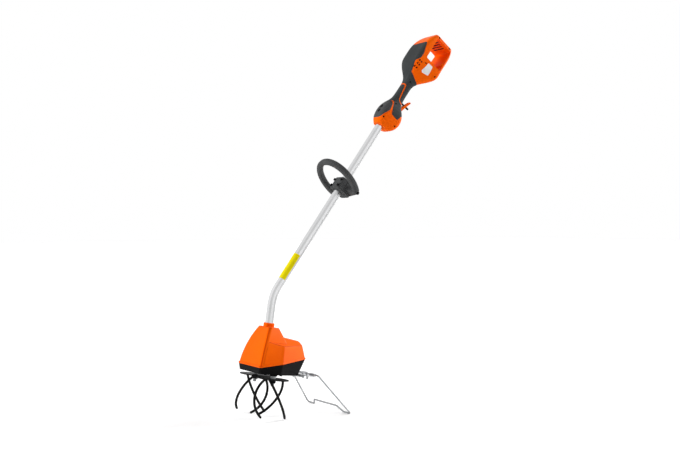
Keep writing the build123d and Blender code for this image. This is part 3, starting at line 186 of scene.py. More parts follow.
# Zinc plated wire and bolts: mid grey and slightly blue, with a soft shine
ZINC = surface("zinc_plated_steel", "#9EA0A2", "#ACAEB0", 0.8, 0.006, (0.3, 0.44), **METAL)
# The same plating on pressed strap, coloured paler than the wire: painted light that brightens a strap which
# mirrors the dark base above it
STRAP_PAINTED_LIGHT = surface("zinc_strap_painted_light", "#CFD0D2", "#D9DADC", 0.9, 0.01, (0.4, 0.52), **METAL)
# Cut gear steel, oiled: grey with a clear shine
STEEL = surface("machined_gear_steel", "#8C8D8F", "#9C9DA0", 0.6, 0.01, (0.26, 0.38), **METAL)
# Die-cast aluminium plate: grey and slightly rough
CAST = surface("die_cast_aluminium", "#A5A6A8", "#B4B5B7", 0.9, 0.05, (0.45, 0.6), **METAL)
# Phosphated motor can: dark grey with a broad sheen
CAN = surface("phosphated_motor_can", "#3C3D40", "#4A4B4E", 0.7, 0.02, (0.4, 0.52), **METAL)
# Bare brass of contacts and bushes: warm yellow and bright
BRASS = surface("bare_brass", "#B8923F", "#C8A24E", 0.6, 0.006, (0.25, 0.35), **METAL)
# Nitrile rubber of seals and cable jacket: black and matt
RUBBER = surface("black_nitrile_rubber", "#121212", "#191919", 0.5, 0.04, (0.6, 0.75), **PLASTIC)
# Circuit board under its coating: deep green with a shine
BOARD = surface("coated_circuit_board", "#0E4A2A", "#145834", 0.7, 0.01, (0.3, 0.42), **PLASTIC)
# Black oxide screws: black metal with a dim shine
SCREW = surface("black_oxide_screw", "#101011", "#19191A", 0.4, 0.01, (0.35, 0.5), **METAL)
# Yellow vinyl film on the tube: flat strong yellow
FILM = surface("yellow_vinyl_film", "#E6D400", "#EADA04", 1.5, 0.006, (0.34, 0.44), **DULL)
# Bare silver polyester plate on the handle: pale with a metal sheen
PLATE = surface("silver_polyester_plate", "#D8D9DB", "#E2E3E5", 0.5, 0.004, (0.4, 0.5), Metallic=0.4)

FINISH = {
    "orange_shell": ORANGE,
    "dark_plastic": BLACK,
    "grey_soft": GREY,
    "tube_alloy": TUBE,
    "black_paint": ENAMEL,
    "zinc_steel": ZINC,
    "gear_steel": STEEL,
    "cast_alloy": CAST,
    "motor_steel": CAN,
    "contact_brass": BRASS,
    "seal_rubber": RUBBER,
    "board_green": BOARD,
    "cable_black": RUBBER,
}
# Parts whose finish differs from the rest of their slot
OWN_FINISH = {
    "handle_screws": SCREW,
    "base_screws": SCREW,
    "loop_clamp_bolts": SCREW,
    "loop_cross_bolt": SCREW,
    "loop_cross_nut": SCREW,
    "battery_terminal_block": ORANGE,
    "neck_screw": ORANGE,
    # Painted light: the stand strap and its bolts take the paler copy of the zinc plating
    "stand_bracket": STRAP_PAINTED_LIGHT,
    "stand_bolts": STRAP_PAINTED_LIGHT,
}
for part in frame["record"]["subparts"]:
    mesh = nodes[part["node"]].data
    mesh.materials.clear()
    mesh.materials.append(OWN_FINISH.get(part["node"], FINISH[part["material_slot"]]))

# Making pieces
MERGE_DISTANCE = 1e-6
CORNER_STEPS = 5
# A distance to the side, in millimetres, that lies outside every housing
OUTSIDE = 120


def raw_mesh(name, points, edges=(), faces=()):
    """A mesh straight from its points, edges and faces."""
    mesh = bpy.data.meshes.new(name)
    mesh.from_pydata([tuple(point) for point in points], edges, faces)
    return mesh


def new_mesh(name, points, faces):
    """A mesh with its faces turned outward."""
    mesh = raw_mesh(name, points, (), faces)
    work = bmesh.new()
    work.from_mesh(mesh)
    bmesh.ops.remove_doubles(work, verts=work.verts, dist=MERGE_DISTANCE)
    bmesh.ops.recalc_face_normals(work, faces=work.faces)
    work.to_mesh(mesh)
    work.free()
    return mesh


def mesh_from(name, work):
    """The plain mesh of an editable one, which goes."""
    mesh = bpy.data.meshes.new(name)
    work.to_mesh(mesh)
    work.free()
    return mesh


def stand_in(name, mesh):
    """An object for a mesh."""
    obj = bpy.data.objects.new(name, mesh)
    scene.collection.objects.link(obj)
    return obj


def finished(obj):
    """The plain mesh of an object after its modifiers; the object goes."""
    graph = bpy.context.evaluated_depsgraph_get()
    mesh = bpy.data.meshes.new_from_object(obj.evaluated_get(graph))
    bpy.data.objects.remove(obj)
    return mesh


def piece(name, mesh, finish, body, smooth=35):
    """A finished piece at the origin that rides on a body, smooth up to an angle in degrees."""
    mesh.materials.clear()
    mesh.materials.append(finish)
    mesh.shade_smooth()
    mesh.set_sharp_from_angle(angle=math.radians(smooth))
    obj = stand_in(name, mesh)
    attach(obj, body)
    return obj


def rounded(points, radius):
    """An outline with its corners taken off by curves that start at a radius from them."""
    outline = []
    for index, point in enumerate(points):
        corner = Vector(point)
        before = Vector(points[index - 1]) - corner
        after = Vector(points[(index + 1) % len(points)]) - corner
        start = corner + before.normalized() * min(radius, before.length / 2)
        end = corner + after.normalized() * min(radius, after.length / 2)
        for step in range(CORNER_STEPS + 1):
            share = step / CORNER_STEPS
            outline.append(start * (1 - share) ** 2 + corner * 2 * share * (1 - share) + end * share**2)
    return outline


def rounded_path(points, radius):
    """An open path with its inner corners rounded."""
    ends = [Vector(points[0]), Vector(points[-1])]
    corner = CORNER_STEPS + 1
    return ends[:1] + rounded(points, radius)[corner:-corner] + ends[1:]


def merged(node):
    """An editable copy of a CAD mesh, its triangles joined."""
    work = bmesh.new()
    work.from_mesh(nodes[node].data)
    bmesh.ops.remove_doubles(work, verts=work.verts, dist=MERGE_DISTANCE)
    return work


def walls_of(node):
    """The faces of a CAD node, ready for casting rays at."""
    work = merged(node)
    tree = BVHTree.FromBMesh(work)
    work.free()
    return tree


def solids(node):
    """The points of each separate solid in a CAD node."""
    work = merged(node)
    found, seen = [], set()
    for start in work.verts:
        if start in seen:
            continue
        seen.add(start)
        waiting, points = [start], []
        while waiting:
            vert = waiting.pop()
            points.append(vert.co.copy())
            for edge in vert.link_edges:
                other = edge.other_vert(vert)
                if other not in seen:
                    seen.add(other)
                    waiting.append(other)
        found.append(points)
    work.free()
    return found


def middle(values):
    """Half way between the least and the greatest."""
    return (min(values) + max(values)) / 2


# Soft skin over the grip, in a front and a rear field parted by the orange line, and a pad behind the keypad;
# outlines in the side view of the handle, as (along, across) in millimetres
FRONT_FIELD = (
    (100.3, -60), (100.3, -21), (101.5, -13), (76, -7), (56, 0), (54, 29), (76, 36), (86, 60),
)
REAR_FIELD = (
    (210, 60), (210, 22), (217, 0), (225, -18.5), (252, -33), (261, -36), (278, -27), (293, -26), (318, -33),
    (340, -36), (352, -60),
)
PAD_FIELD = ((88, -60), (88, -14.5), (96.5, -17), (100, -21), (100, -60))
LINE_PATH = ((186, -60), (183, -13), (180, -5), (121, 1.5), (115, 12), (112, 60))
LINE_WIDTH = 4.0
FIELD_ROUND = 4
PAD_ROUND = 2
SKIN_RISE = 0.35
# The recesses that hold the screw heads, and the reach within which a face is under the head or recess wall
RECESS_RADIUS = 3.4
UNDER_HEAD = RECESS_RADIUS - 0.2
RECESS_WALL = RECESS_RADIUS + 0.1
# How far above a face the ray starts that asks whether something covers it
RAY_START = 0.2
CUT_DISTANCE = 1e-7
# The sharpest turn of a path that its neighbour follows in full, as a cosine
TURN_LIMIT = 0.5


def beside(path, distance):
    """A path moved to its left."""
    moved = []
    for index, here in enumerate(path):
        back = (here - path[max(index - 1, 0)]).normalized()
        ahead = (path[min(index + 1, len(path) - 1)] - here).normalized()
        run = (back + ahead).normalized()
        reach = distance / max(run.dot(ahead if ahead.length else back), TURN_LIMIT)
        moved.append(here + Vector((-run.y, run.x)) * reach)
    return moved


def side_view(point):
    """A row point as (along, across) of the handle, in millimetres."""
    place = (point - HANDLE_ORIGIN) / MM
    return Vector((place.dot(ALONG), place.dot(UNDER)))


def inside(point, outline):
    """Whether a point of the side view lies in an outline."""
    odd = False
    for start, end in zip(outline, outline[1:] + outline[:1]):
        if (start.y > point.y) != (end.y > point.y):
            if point.x < start.x + (point.y - start.y) / (end.y - start.y) * (end.x - start.x):
                odd = not odd
    return odd


def cut_along(work, outline):
    """Split the faces that an outline of the side view crosses."""
    for start, end in zip(outline, outline[1:] + outline[:1]):
        spots = {vert: side_view(vert.co) for vert in work.verts}
        low = [min(start[k], end[k]) for k in (0, 1)]
        high = [max(start[k], end[k]) for k in (0, 1)]
        crossed = set()
        for face in work.faces:
            touched = True
            for k in (0, 1):
                reach = [spots[vert][k] for vert in face.verts]
                touched = touched and max(reach) > low[k] and min(reach) < high[k]
            if touched:
                crossed.update([face, *face.edges, *face.verts])
        run = end - start
        across = UNDER * run.x - ALONG * run.y
        bmesh.ops.bisect_plane(
            work,
            geom=list(crossed),
            dist=CUT_DISTANCE,
            plane_co=on_handle(0, *start),
            plane_no=across.normalized(),
        )


SCREWS = solids("handle_screws")
SCREW_PLACES = []
for points in SCREWS:
    spots = [side_view(point) for point in points]
    SCREW_PLACES.append(Vector((middle([spot.x for spot in spots]), middle([spot.y for spot in spots]))))
SHELLS = [walls_of("handle_" + hand + "_shell") for hand in ("left", "right")]


def skin(name, node, outline, rise):
    """The outer surface of a shell inside an outline of the side view, as a layer of its own. It lines the
    screw recesses and leaves out what lies under the screw heads."""
    work = merged(node)
    cut_along(work, outline)
    spare = []
    for face in work.faces:
        centre = face.calc_center_median()
        spot = side_view(centre)
        reach = min((spot - place).length for place in SCREW_PLACES)
        under_head = reach < UNDER_HEAD
        recess_wall = not under_head and reach < RECESS_WALL
        above = centre + face.normal * RAY_START * MM
        blocked = any(shell.ray_cast(above, face.normal)[0] for shell in SHELLS)
        if under_head or (blocked and not recess_wall) or not inside(spot, outline):
            spare.append(face)
    bmesh.ops.delete(work, geom=spare, context="FACES")
    obj = stand_in(name, mesh_from(name, work))
    layer = obj.modifiers.new("layer", "SOLIDIFY")
    layer.thickness = rise * MM
    layer.offset = 1
    return finished(obj)


line = rounded_path(LINE_PATH, FIELD_ROUND)
fields = {
    "front": rounded_path(FRONT_FIELD, FIELD_ROUND) + beside(line, LINE_WIDTH / 2)[::-1],
    "rear": rounded_path(REAR_FIELD, FIELD_ROUND) + beside(line, -LINE_WIDTH / 2),
    "pad": rounded_path(PAD_FIELD, PAD_ROUND),
}
for place, outline in fields.items():
    for hand in ("left", "right"):
        name = "grip_skin_" + place + "_" + hand
        layer = skin(name, "handle_" + hand + "_shell", outline, SKIN_RISE)
        piece(name, layer, GRIP, "frame")

# Frame of the seam between cover and base: where it starts in the head frame and how steeply it climbs
SEAM_BACK, SEAM_HEIGHT, SEAM_RISE = -12.6, 39.4, math.radians(10.9)


def on_seam(x, back, up):
    """Row point from sizes in the frame of the seam, in millimetres."""
    level = SEAM_BACK + back * math.cos(SEAM_RISE) - up * math.sin(SEAM_RISE)
    height = SEAM_HEIGHT + back * math.sin(SEAM_RISE) + up * math.cos(SEAM_RISE)
    return ROTORS + (SIDEWAYS * x + HEAD_BACK * level + HEAD_UP * height) * MM


# The head cover again in small faces, so that its edges can carry painted shade
COVER_FACE = 4.5
MOST_SPLITS = 9
# Which way the wall faces at the middle of each rounded edge and how far to each side painted shade reaches, in
# degrees
FRONT_EDGE = (-42, 22)
ROOF_EDGE = (40, 13)
REAR_EDGE = (10.5, 5)
# The rear edge gets painted shade on walls with less lift than this, and up to this height over the seam
WALL_LIFT = 21
REAR_EDGE_TOP = 53


def small_faces(work, size):
    """Split edges until none is longer than a size in millimetres."""
    for _ in range(MOST_SPLITS):
        long = [edge for edge in work.edges if edge.calc_length() > size * MM]
        if not long:
            return
        bmesh.ops.subdivide_edges(work, edges=long, cuts=1)
        bmesh.ops.triangulate(work, faces=work.faces)


def near(angle, edge):
    """One at the middle of an edge, falling to nothing at its sides."""
    return max(0, 1 - abs(angle - edge[0]) / edge[1])


def paint_edge_shade(work):
    """Paint shade onto the rounded edges, picked by the way the surface faces: its turn to the rear and its lift.
    """
    layer = work.verts.layers.float.new("painted_edge_shade")
    work.normal_update()
    foot = on_seam(0, 0, 0)
    above = (on_seam(0, 0, 1) - foot) / MM
    for vert in work.verts:
        turn = math.degrees(math.atan2(vert.normal.dot(HEAD_BACK), abs(vert.normal.x)))
        lift = math.degrees(math.asin(max(-1, min(1, vert.normal.dot(HEAD_UP)))))
        low = (vert.co - foot).dot(above) < REAR_EDGE_TOP * MM
        upright = near(turn, REAR_EDGE) if low and 0 < lift < WALL_LIFT else 0
        vert[layer] = max(near(turn, FRONT_EDGE) if lift > 0 else 0, near(lift, ROOF_EDGE), upright)


def edge_shaded(name, work):
    """The mesh of a moulding in small faces, with painted shade along its edges."""
    small_faces(work, COVER_FACE)
    paint_edge_shade(work)
    return mesh_from(name, work)


# Painted shade: the head cover is replaced by a copy whose rounded edges are coloured a darker orange
cover = edge_shaded("edge_shaded_head_cover", merged("head_cover"))
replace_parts(piece("edge_shaded_head_cover", cover, COVER_EDGE_SHADE, "frame"), "head_cover")

# Flat cheeks that carry the sides of the motor lobe forward to the front panel, under a ledge at the roof's
# pitch. Their front and rear lines are (back, up) in the frame of the seam, from the foot up.
CHEEK_FRONT = ((-34.5, 5.5), (-28.6, 21), (-20.8, 40), (-12.3, 56), (-4.9, 70.5))
CHEEK_REAR = ((31.4, 5.5), (34, 15), (38, 27), (42.5, 39), (47, 50.5))
CHEEK_DEPTH = 12
# How far the front line stands out of the cover and the rear line sinks into it
CHEEK_PROUD = 0.4
LEDGE_RISE = 6.4
CHEEK_ROUND = 3.0
COVER_WALL = walls_of("head_cover")


def cheek_points(hand):
    """The corners of a cheek: for each line its outer points, then its inner ones."""
    points = []
    for line, proud in ((CHEEK_FRONT, CHEEK_PROUD), (CHEEK_REAR, -CHEEK_PROUD)):
        walls = []
        for spot in line:
            hit = COVER_WALL.ray_cast(on_seam(hand * OUTSIDE, *spot), SIDEWAYS * -hand)[0]
            walls.append(abs(hit.x) / MM + proud)
        points += [on_seam(hand * wall, *spot) for wall, spot in zip(walls, line)]
        for wall, (back, up) in zip(walls, line):
            lift = LEDGE_RISE if (back, up) == line[-1] else 0
            points.append(on_seam(hand * (wall - CHEEK_DEPTH), back, up + lift))
    return points


def cheek_faces():
    """The walls round a cheek between its four lines of points, then its foot and its ledge."""
    rows = len(CHEEK_FRONT)
    faces = []
    for k in range(rows - 1):
        for here, there in ((0, 2), (2, 3), (3, 1), (1, 0)):
            faces.append((here * rows + k, there * rows + k, there * rows + k + 1, here * rows + k + 1))
    return faces + [(0, rows, 3 * rows, 2 * rows), (rows - 1, 3 * rows - 1, 4 * rows - 1, 2 * rows - 1)]


corners, walls = [], []
for hand in (-1, 1):
    walls += [tuple(index + len(corners) for index in face) for face in cheek_faces()]
    corners += cheek_points(hand)
obj = stand_in("cheek_block", new_mesh("cheek_block", corners, walls))
curve = obj.modifiers.new("edge", "BEVEL")
curve.width = CHEEK_ROUND * MM
curve.segments = 4
curve.angle_limit = math.radians(30)
work = bmesh.new()
work.from_mesh(finished(obj))
# The cheeks carry the same painted shade along their edges as the cover
piece("cover_cheeks", edge_shaded("cover_cheeks", work), COVER_EDGE_SHADE, "frame")

# Bare rating plate on the left face, following the shell
PLATE_OUTLINE = ((283, 8), (284.5, 28), (251, 33.5), (244.5, 9), (248.5, 3))
PLATE_ROUND = 1.5
PLATE_THICK = 0.25
plate = skin("rating_plate", "handle_left_shell", rounded(PLATE_OUTLINE, PLATE_ROUND), PLATE_THICK)
piece("rating_plate", plate, PLATE, "frame")

# Yellow film round the front of the shaft tube, below the loop: its span along the tube, its turn in degrees
TUBE_RADIUS = 12.7
FILM_SPAN = (-605, -513)
FILM_TURN = (-150, 8)
FILM_THICK = 0.2
FILM_STEPS = 28


def on_tube(share, end, lift):
    """Row point of the film at a share of its turn, at one end, lifted off the tube."""
    turn = math.radians(FILM_TURN[0] + (FILM_TURN[1] - FILM_TURN[0]) * share)
    reach = TUBE_RADIUS + lift
    return on_handle(reach * math.cos(turn), FILM_SPAN[end], reach * math.sin(turn))


def wrapped_film(name):
    """A thin closed film over the tube."""
    row = FILM_STEPS + 1
    points = []
    for lift in (0.0, FILM_THICK):
        for end in (0, 1):
            points += [on_tube(k / FILM_STEPS, end, lift) for k in range(row)]
    faces = [(0, 2 * row, 3 * row, row), (row - 1, 2 * row - 1, 4 * row - 1, 3 * row - 1)]
    for k in range(FILM_STEPS):
        faces.append((2 * row + k, 2 * row + k + 1, 3 * row + k + 1, 3 * row + k))
        faces.append((k, row + k, row + k + 1, k + 1))
        faces.append((k, k + 1, 2 * row + k + 1, 2 * row + k))
        faces.append((row + k, 3 * row + k, 3 * row + k + 1, row + k + 1))
    return new_mesh(name, points, faces)


piece("tube_film", wrapped_film("tube_film"), FILM, "frame")


# What repeats: welds, threads, pegs and screws
def shape_tree(name, sizes):
    """A Geometry Nodes tree that takes a start mesh and named sizes."""
    tree = bpy.data.node_groups.new(name, "GeometryNodeTree")
    tree.interface.new_socket("Geometry", in_out="INPUT", socket_type="NodeSocketGeometry")
    for size in sizes:
        tree.interface.new_socket(size, in_out="INPUT", socket_type="NodeSocketFloat")
    tree.interface.new_socket("Geometry", in_out="OUTPUT", socket_type="NodeSocketGeometry")
    return tree, add(tree, "NodeGroupInput", {}).outputs


def close_tree(tree, shape, finish):
    """Make a tree's shape real, coat it and put it out."""
    real = add(tree, "GeometryNodeRealizeInstances", {}, [("Geometry", shape)])
    coated = add(tree, "GeometryNodeSetMaterial", {"Material": finish}, [("Geometry", real.outputs[0])])
    add(tree, "NodeGroupOutput", {}, [("Geometry", coated.outputs[0])])


def grown(name, start, tree, sizes):
    """The plain mesh that a tree makes from a start mesh, with its sizes in millimetres."""
    obj = stand_in(name, start)
    shape = obj.modifiers.new("shape", "NODES")
    shape.node_group = tree
    for socket in tree.interface.items_tree:
        if socket.name in sizes:
            shape[socket.identifier] = sizes[socket.name] * MM
    return finished(obj)


# Weld beads round the feet of the tines, rippled as the torch left them: every other ring is swelled
WELD = {"Bead radius": 1.4, "Ripple spacing": 0.9}
RIPPLE = {"To Min": 0.82, "To Max": 1.1}
# How far below its highest point a tine's upper end still counts as its rim
RIM_DEPTH = 0.01
weld_tree, given = shape_tree("weld_bead", WELD)
path = add(weld_tree, "GeometryNodeMeshToCurve", {}, [("Mesh", given["Geometry"])])
path = add(
    weld_tree,
    "GeometryNodeResampleCurve",
    {"mode": "LENGTH"},
    [("Curve", path.outputs[0]), ("Length", given["Ripple spacing"])],
)
order = add(weld_tree, "GeometryNodeInputIndex", {})
every_other = add(weld_tree, "ShaderNodeMath", {"operation": "MODULO", 1: 2.0}, [(0, order.outputs[0])])
swell = add(weld_tree, "ShaderNodeMapRange", RIPPLE, [("Value", every_other.outputs[0])])
path = add(
    weld_tree,
    "GeometryNodeSetCurveRadius",
    {},
    [("Curve", path.outputs[0]), ("Radius", swell.outputs["Result"])],
)
profile = add(
    weld_tree, "GeometryNodeCurvePrimitiveCircle", {"Resolution": 10}, [("Radius", given["Bead radius"])]
)
bead = add(
    weld_tree,
    "GeometryNodeCurveToMesh",
    {},
    [("Curve", path.outputs[0]), ("Profile Curve", profile.outputs[0])],
)
close_tree(weld_tree, bead.outputs[0], ENAMEL)


def foot_outline(points):
    """The upper end of a tine, as points in order round it."""
    top = max(point.dot(HEAD_UP) for point in points)
    rim = [point for point in points if point.dot(HEAD_UP) > top - RIM_DEPTH * MM]
    centre = sum(rim, Vector()) / len(rim)
    return sorted(rim, key=lambda p: math.atan2((p - centre).dot(HEAD_BACK), (p - centre).dot(SIDEWAYS)))


for side in ("left", "right"):
    spots, edges = [], []
    for points in solids(side + "_tines"):
        rim = foot_outline(points)
        first = len(spots)
        spots += rim
        edges += [(first + k, first + (k + 1) % len(rim)) for k in range(len(rim))]
    beads = grown("weld_path", raw_mesh("weld_path", spots, edges), weld_tree, WELD)
    piece(side + "_tine_welds", beads, ENAMEL, "rotor_" + side)

# Threads on the ends of the stand bolts and the rotor shafts
BOLT_THREAD = {"Radius": 2.95, "Length": 8.2, "Pitch": 1.0, "Ridge": 0.34}
SHAFT_THREAD = {"Radius": 4.95, "Length": 7.5, "Pitch": 1.25, "Ridge": 0.42}
THREAD_LEAN = (-math.atan2(HEAD_UP.y, HEAD_UP.z), 0, 0)
# How far above the end a thread starts, and the length of the short bolts, which have no thread in view
THREAD_START = 0.5
SADDLE_BOLT_LENGTH = 12
thread_tree, given = shape_tree("screw_thread", BOLT_THREAD)
turns = add(
    thread_tree, "ShaderNodeMath", {"operation": "DIVIDE"}, [(0, given["Length"]), (1, given["Pitch"])]
)
helix = add(
    thread_tree,
    "GeometryNodeCurveSpiral",
    {"Resolution": 24},
    [
        ("Rotations", turns.outputs[0]),
        ("Start Radius", given["Radius"]),
        ("End Radius", given["Radius"]),
        ("Height", given["Length"]),
    ],
)
profile = add(
    thread_tree, "GeometryNodeCurvePrimitiveCircle", {"Resolution": 6}, [("Radius", given["Ridge"])]
)
ridge = add(
    thread_tree,
    "GeometryNodeCurveToMesh",
    {"Fill Caps": True},
    [("Curve", helix.outputs[0]), ("Profile Curve", profile.outputs[0])],
)
placed = add(
    thread_tree,
    "GeometryNodeInstanceOnPoints",
    {"Rotation": THREAD_LEAN},
    [("Points", given["Geometry"]), ("Instance", ridge.outputs[0])],
)
close_tree(thread_tree, placed.outputs[0], ZINC)


def low_end(points):
    """The foot of an upright solid in the head frame, where its thread starts, and the solid's length."""
    foot = min(point.dot(HEAD_UP) for point in points)
    tall = max(point.dot(HEAD_UP) for point in points) - foot
    x = middle([point.dot(SIDEWAYS) for point in points])
    y = middle([point.dot(HEAD_BACK) for point in points])
    return SIDEWAYS * x + HEAD_BACK * y + HEAD_UP * (foot + THREAD_START * MM), tall


ends = [low_end(points) for points in solids("stand_bolts")]
tips = [spot for spot, tall in ends if tall > SADDLE_BOLT_LENGTH * MM]
threads = grown("bolt_tips", raw_mesh("bolt_tips", tips), thread_tree, BOLT_THREAD)
piece("stand_bolt_threads", threads, ZINC, "frame")
for side in ("left", "right"):
    tip = low_end(solids(side + "_output_shaft")[0])[0]
    threads = grown("shaft_tip", raw_mesh("shaft_tip", [tip]), thread_tree, SHAFT_THREAD)
    piece(side + "_shaft_thread", threads, ZINC, "rotor_" + side)

# Black grille pegs in the handle vents, set below the surface, and black strips in the bay's louvre slots that
# paint the shade inside them
VENT_ROWS = (244, 256, 268)
VENT_COLUMNS = (-25, -16.5)
VENT_ALONG, VENT_ACROSS = 6.5, 5.5
# How far round a vent the shell is felt for, and the play of a peg or strip in its opening
VENT_MARGIN = 0.5
PLAY = 0.1
PEG = {"Wide": 8.0, "Across": VENT_ACROSS - PLAY, "Along": VENT_ALONG - PLAY}
PEG_DEPTH = 0.5
SLOT_PLACES = (4, 14, 24, 34)
SLOT_FLOOR = 385.0
SLOT_ACROSS = 4.5
LOUVRE_SHADE = {"Wide": 51.8, "Across": SLOT_ACROSS - PLAY, "Along": 4.3}
peg_tree, given = shape_tree("grille_peg", PEG)
size = add(
    peg_tree,
    "ShaderNodeCombineXYZ",
    {},
    [("X", given["Wide"]), ("Y", given["Across"]), ("Z", given["Along"])],
)
peg = add(peg_tree, "GeometryNodeMeshCube", {}, [("Size", size.outputs[0])])
placed = add(
    peg_tree,
    "GeometryNodeInstanceOnPoints",
    {"Rotation": (-TUBE_TURN, 0, 0)},
    [("Points", given["Geometry"]), ("Instance", peg.outputs[0])],
)
close_tree(peg_tree, placed.outputs[0], BLACK)


def wall_reach(along, across, hand):
    """How far out the shell reaches round a vent, in millimetres."""
    reach = []
    for low in (-1, 1):
        for side in (-1, 1):
            spot = (
                along + low * (VENT_ALONG / 2 + VENT_MARGIN),
                across + side * (VENT_ACROSS / 2 + VENT_MARGIN),
            )
            for shell in SHELLS:
                hit = shell.ray_cast(on_handle(hand * OUTSIDE, *spot), SIDEWAYS * -hand)[0]
                if hit:
                    reach.append(abs(hit.x) / MM)
                    break
    return min(reach)


seats = []
for hand in (-1, 1):
    for along in VENT_ROWS:
        for across in VENT_COLUMNS:
            crown = wall_reach(along, across, hand) - PEG_DEPTH
            seats.append(on_handle(hand * (crown - PEG["Wide"] / 2), along, across))
pegs = grown("vent_seats", raw_mesh("vent_seats", seats), peg_tree, PEG)
piece("vent_grille_pegs", pegs, BLACK, "frame")
# Painted shade: black strips at the foot of the bay's louvre slots stand in for the shade inside them
seats = [on_handle(0, SLOT_FLOOR - LOUVRE_SHADE["Along"] / 2, place + SLOT_ACROSS / 2) for place in SLOT_PLACES]
strips = grown("slot_seats", raw_mesh("slot_seats", seats), peg_tree, LOUVRE_SHADE)
piece("bay_louvre_painted_shade", strips, BLACK, "frame")

# Handle screws with a six-lobed drive
SCREW_SIZES = {
    "Head radius": 3.0,
    "Crown radius": 2.5,
    "Head height": 2.4,
    "Drive outer": 1.75,
    "Drive inner": 1.2,
    "Drive round": 0.3,
    "Drive floor": 0.7,
    "Shank radius": 1.6,
    "Shank length": 20,
}
screw_tree, given = shape_tree("lobed_screw", SCREW_SIZES)
head = add(
    screw_tree,
    "GeometryNodeMeshCone",
    {"Vertices": 32},
    [
        ("Radius Top", given["Crown radius"]),
        ("Radius Bottom", given["Head radius"]),
        ("Depth", given["Head height"]),
    ],
)
star = add(
    screw_tree,
    "GeometryNodeCurveStar",
    {"Points": 6},
    [("Inner Radius", given["Drive inner"]), ("Outer Radius", given["Drive outer"])],
)
star = add(
    screw_tree,
    "GeometryNodeFilletCurve",
    {"mode": "POLY", "Count": 3},
    [("Curve", star.outputs[0]), ("Radius", given["Drive round"])],
)
floor_at = add(screw_tree, "ShaderNodeCombineXYZ", {}, [("Z", given["Drive floor"])])
above = add(
    screw_tree,
    "ShaderNodeMath",
    {"operation": "ADD"},
    [(0, given["Head height"]), (1, given["Drive floor"])],
)
above_at = add(screw_tree, "ShaderNodeCombineXYZ", {}, [("Z", above.outputs[0])])
bore = add(
    screw_tree,
    "GeometryNodeCurvePrimitiveLine",
    {},
    [("Start", floor_at.outputs[0]), ("End", above_at.outputs[0])],
)
drive = add(
    screw_tree,
    "GeometryNodeCurveToMesh",
    {"Fill Caps": True},
    [("Curve", bore.outputs[0]), ("Profile Curve", star.outputs[0])],
)
socketed = add(
    screw_tree,
    "GeometryNodeMeshBoolean",
    {"operation": "DIFFERENCE", "solver": "EXACT"},
    [("Mesh 1", head.outputs[0]), ("Mesh 2", drive.outputs[0])],
)
shank = add(
    screw_tree,
    "GeometryNodeMeshCylinder",
    {"Vertices": 16},
    [("Radius", given["Shank radius"]), ("Depth", given["Shank length"])],
)
half = add(screw_tree, "ShaderNodeMath", {"operation": "MULTIPLY", 1: -0.5}, [(0, given["Shank length"])])
below = add(screw_tree, "ShaderNodeCombineXYZ", {}, [("Z", half.outputs[0])])
shank = add(
    screw_tree,
    "GeometryNodeTransform",
    {},
    [("Geometry", shank.outputs[0]), ("Translation", below.outputs[0])],
)
whole = add(screw_tree, "GeometryNodeJoinGeometry", {})
for part in (shank.outputs[0], socketed.outputs[0]):
    screw_tree.links.new(part, whole.inputs[0])
placed = add(
    screw_tree,
    "GeometryNodeInstanceOnPoints",
    {"Rotation": (0, math.pi / 2, 0)},
    [("Points", given["Geometry"]), ("Instance", whole.outputs[0])],
)
close_tree(screw_tree, placed.outputs[0], SCREW)
seats = []
for points, place in zip(SCREWS, SCREW_PLACES):
    crown = max(point.x for point in points) / MM
    seats.append(on_handle(crown - SCREW_SIZES["Head height"], *place))
screws = grown("screw_seats", raw_mesh("screw_seats", seats), screw_tree, SCREW_SIZES)
screws = piece("handle_lobed_screws", screws, SCREW, "frame")
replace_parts(screws, "handle_screws")

# Floor and light
UP = Vector((0, 0, 1))
RIGHT = VIEW.cross(UP)
WHITE = (1, 1, 1, 1)
NO_SHINE = {"Specular IOR Level": 0.0}
# White paper sheet: matt, and almost white
PAPER = surface("white_paper_floor", "#F6F6F6", "#F8F8F8", 2.0, 0.0, (0.9, 1.0), **NO_SHINE)
# Half the side of the floor, in metres
FLOOR_HALF = 30
# The floor looks a little lighter than it is, and keeps the shadow
FLOOR_LIFT = 0.25


def staged(name, points, faces, finish):
    """A studio piece that isn't part of the object."""
    mesh = raw_mesh(name, points, (), faces)
    mesh.materials.append(finish)
    obj = stand_in(name, mesh)
    return obj


tree = PAPER.node_tree
sheet = tree.nodes["Principled BSDF"].outputs[0]
rays = add(tree, "ShaderNodeLightPath", {})
lift = add(
    tree,
    "ShaderNodeMath",
    {"operation": "MULTIPLY", 1: FLOOR_LIFT},
    [(0, rays.outputs["Is Camera Ray"])],
)
glow = add(tree, "ShaderNodeEmission", {"Color": WHITE}, [("Strength", lift.outputs[0])])
both = add(tree, "ShaderNodeAddShader", {}, [(0, sheet), (1, glow.outputs[0])])
tree.links.new(both.outputs[0], tree.nodes["Material Output"].inputs["Surface"])
corners = [Vector((x, y, 0)) * FLOOR_HALF for x, y in ((-1, -1), (1, -1), (1, 1), (-1, 1))]
staged("floor", corners, [(0, 1, 2, 3)], PAPER)

# Grey cards that only mirrors show, along the tube's upper run, its bend and its lower run, so that the
# bright tube has bands of tone on white
CARD_DISTANCE = 1.3
CARD_STEPS = 6
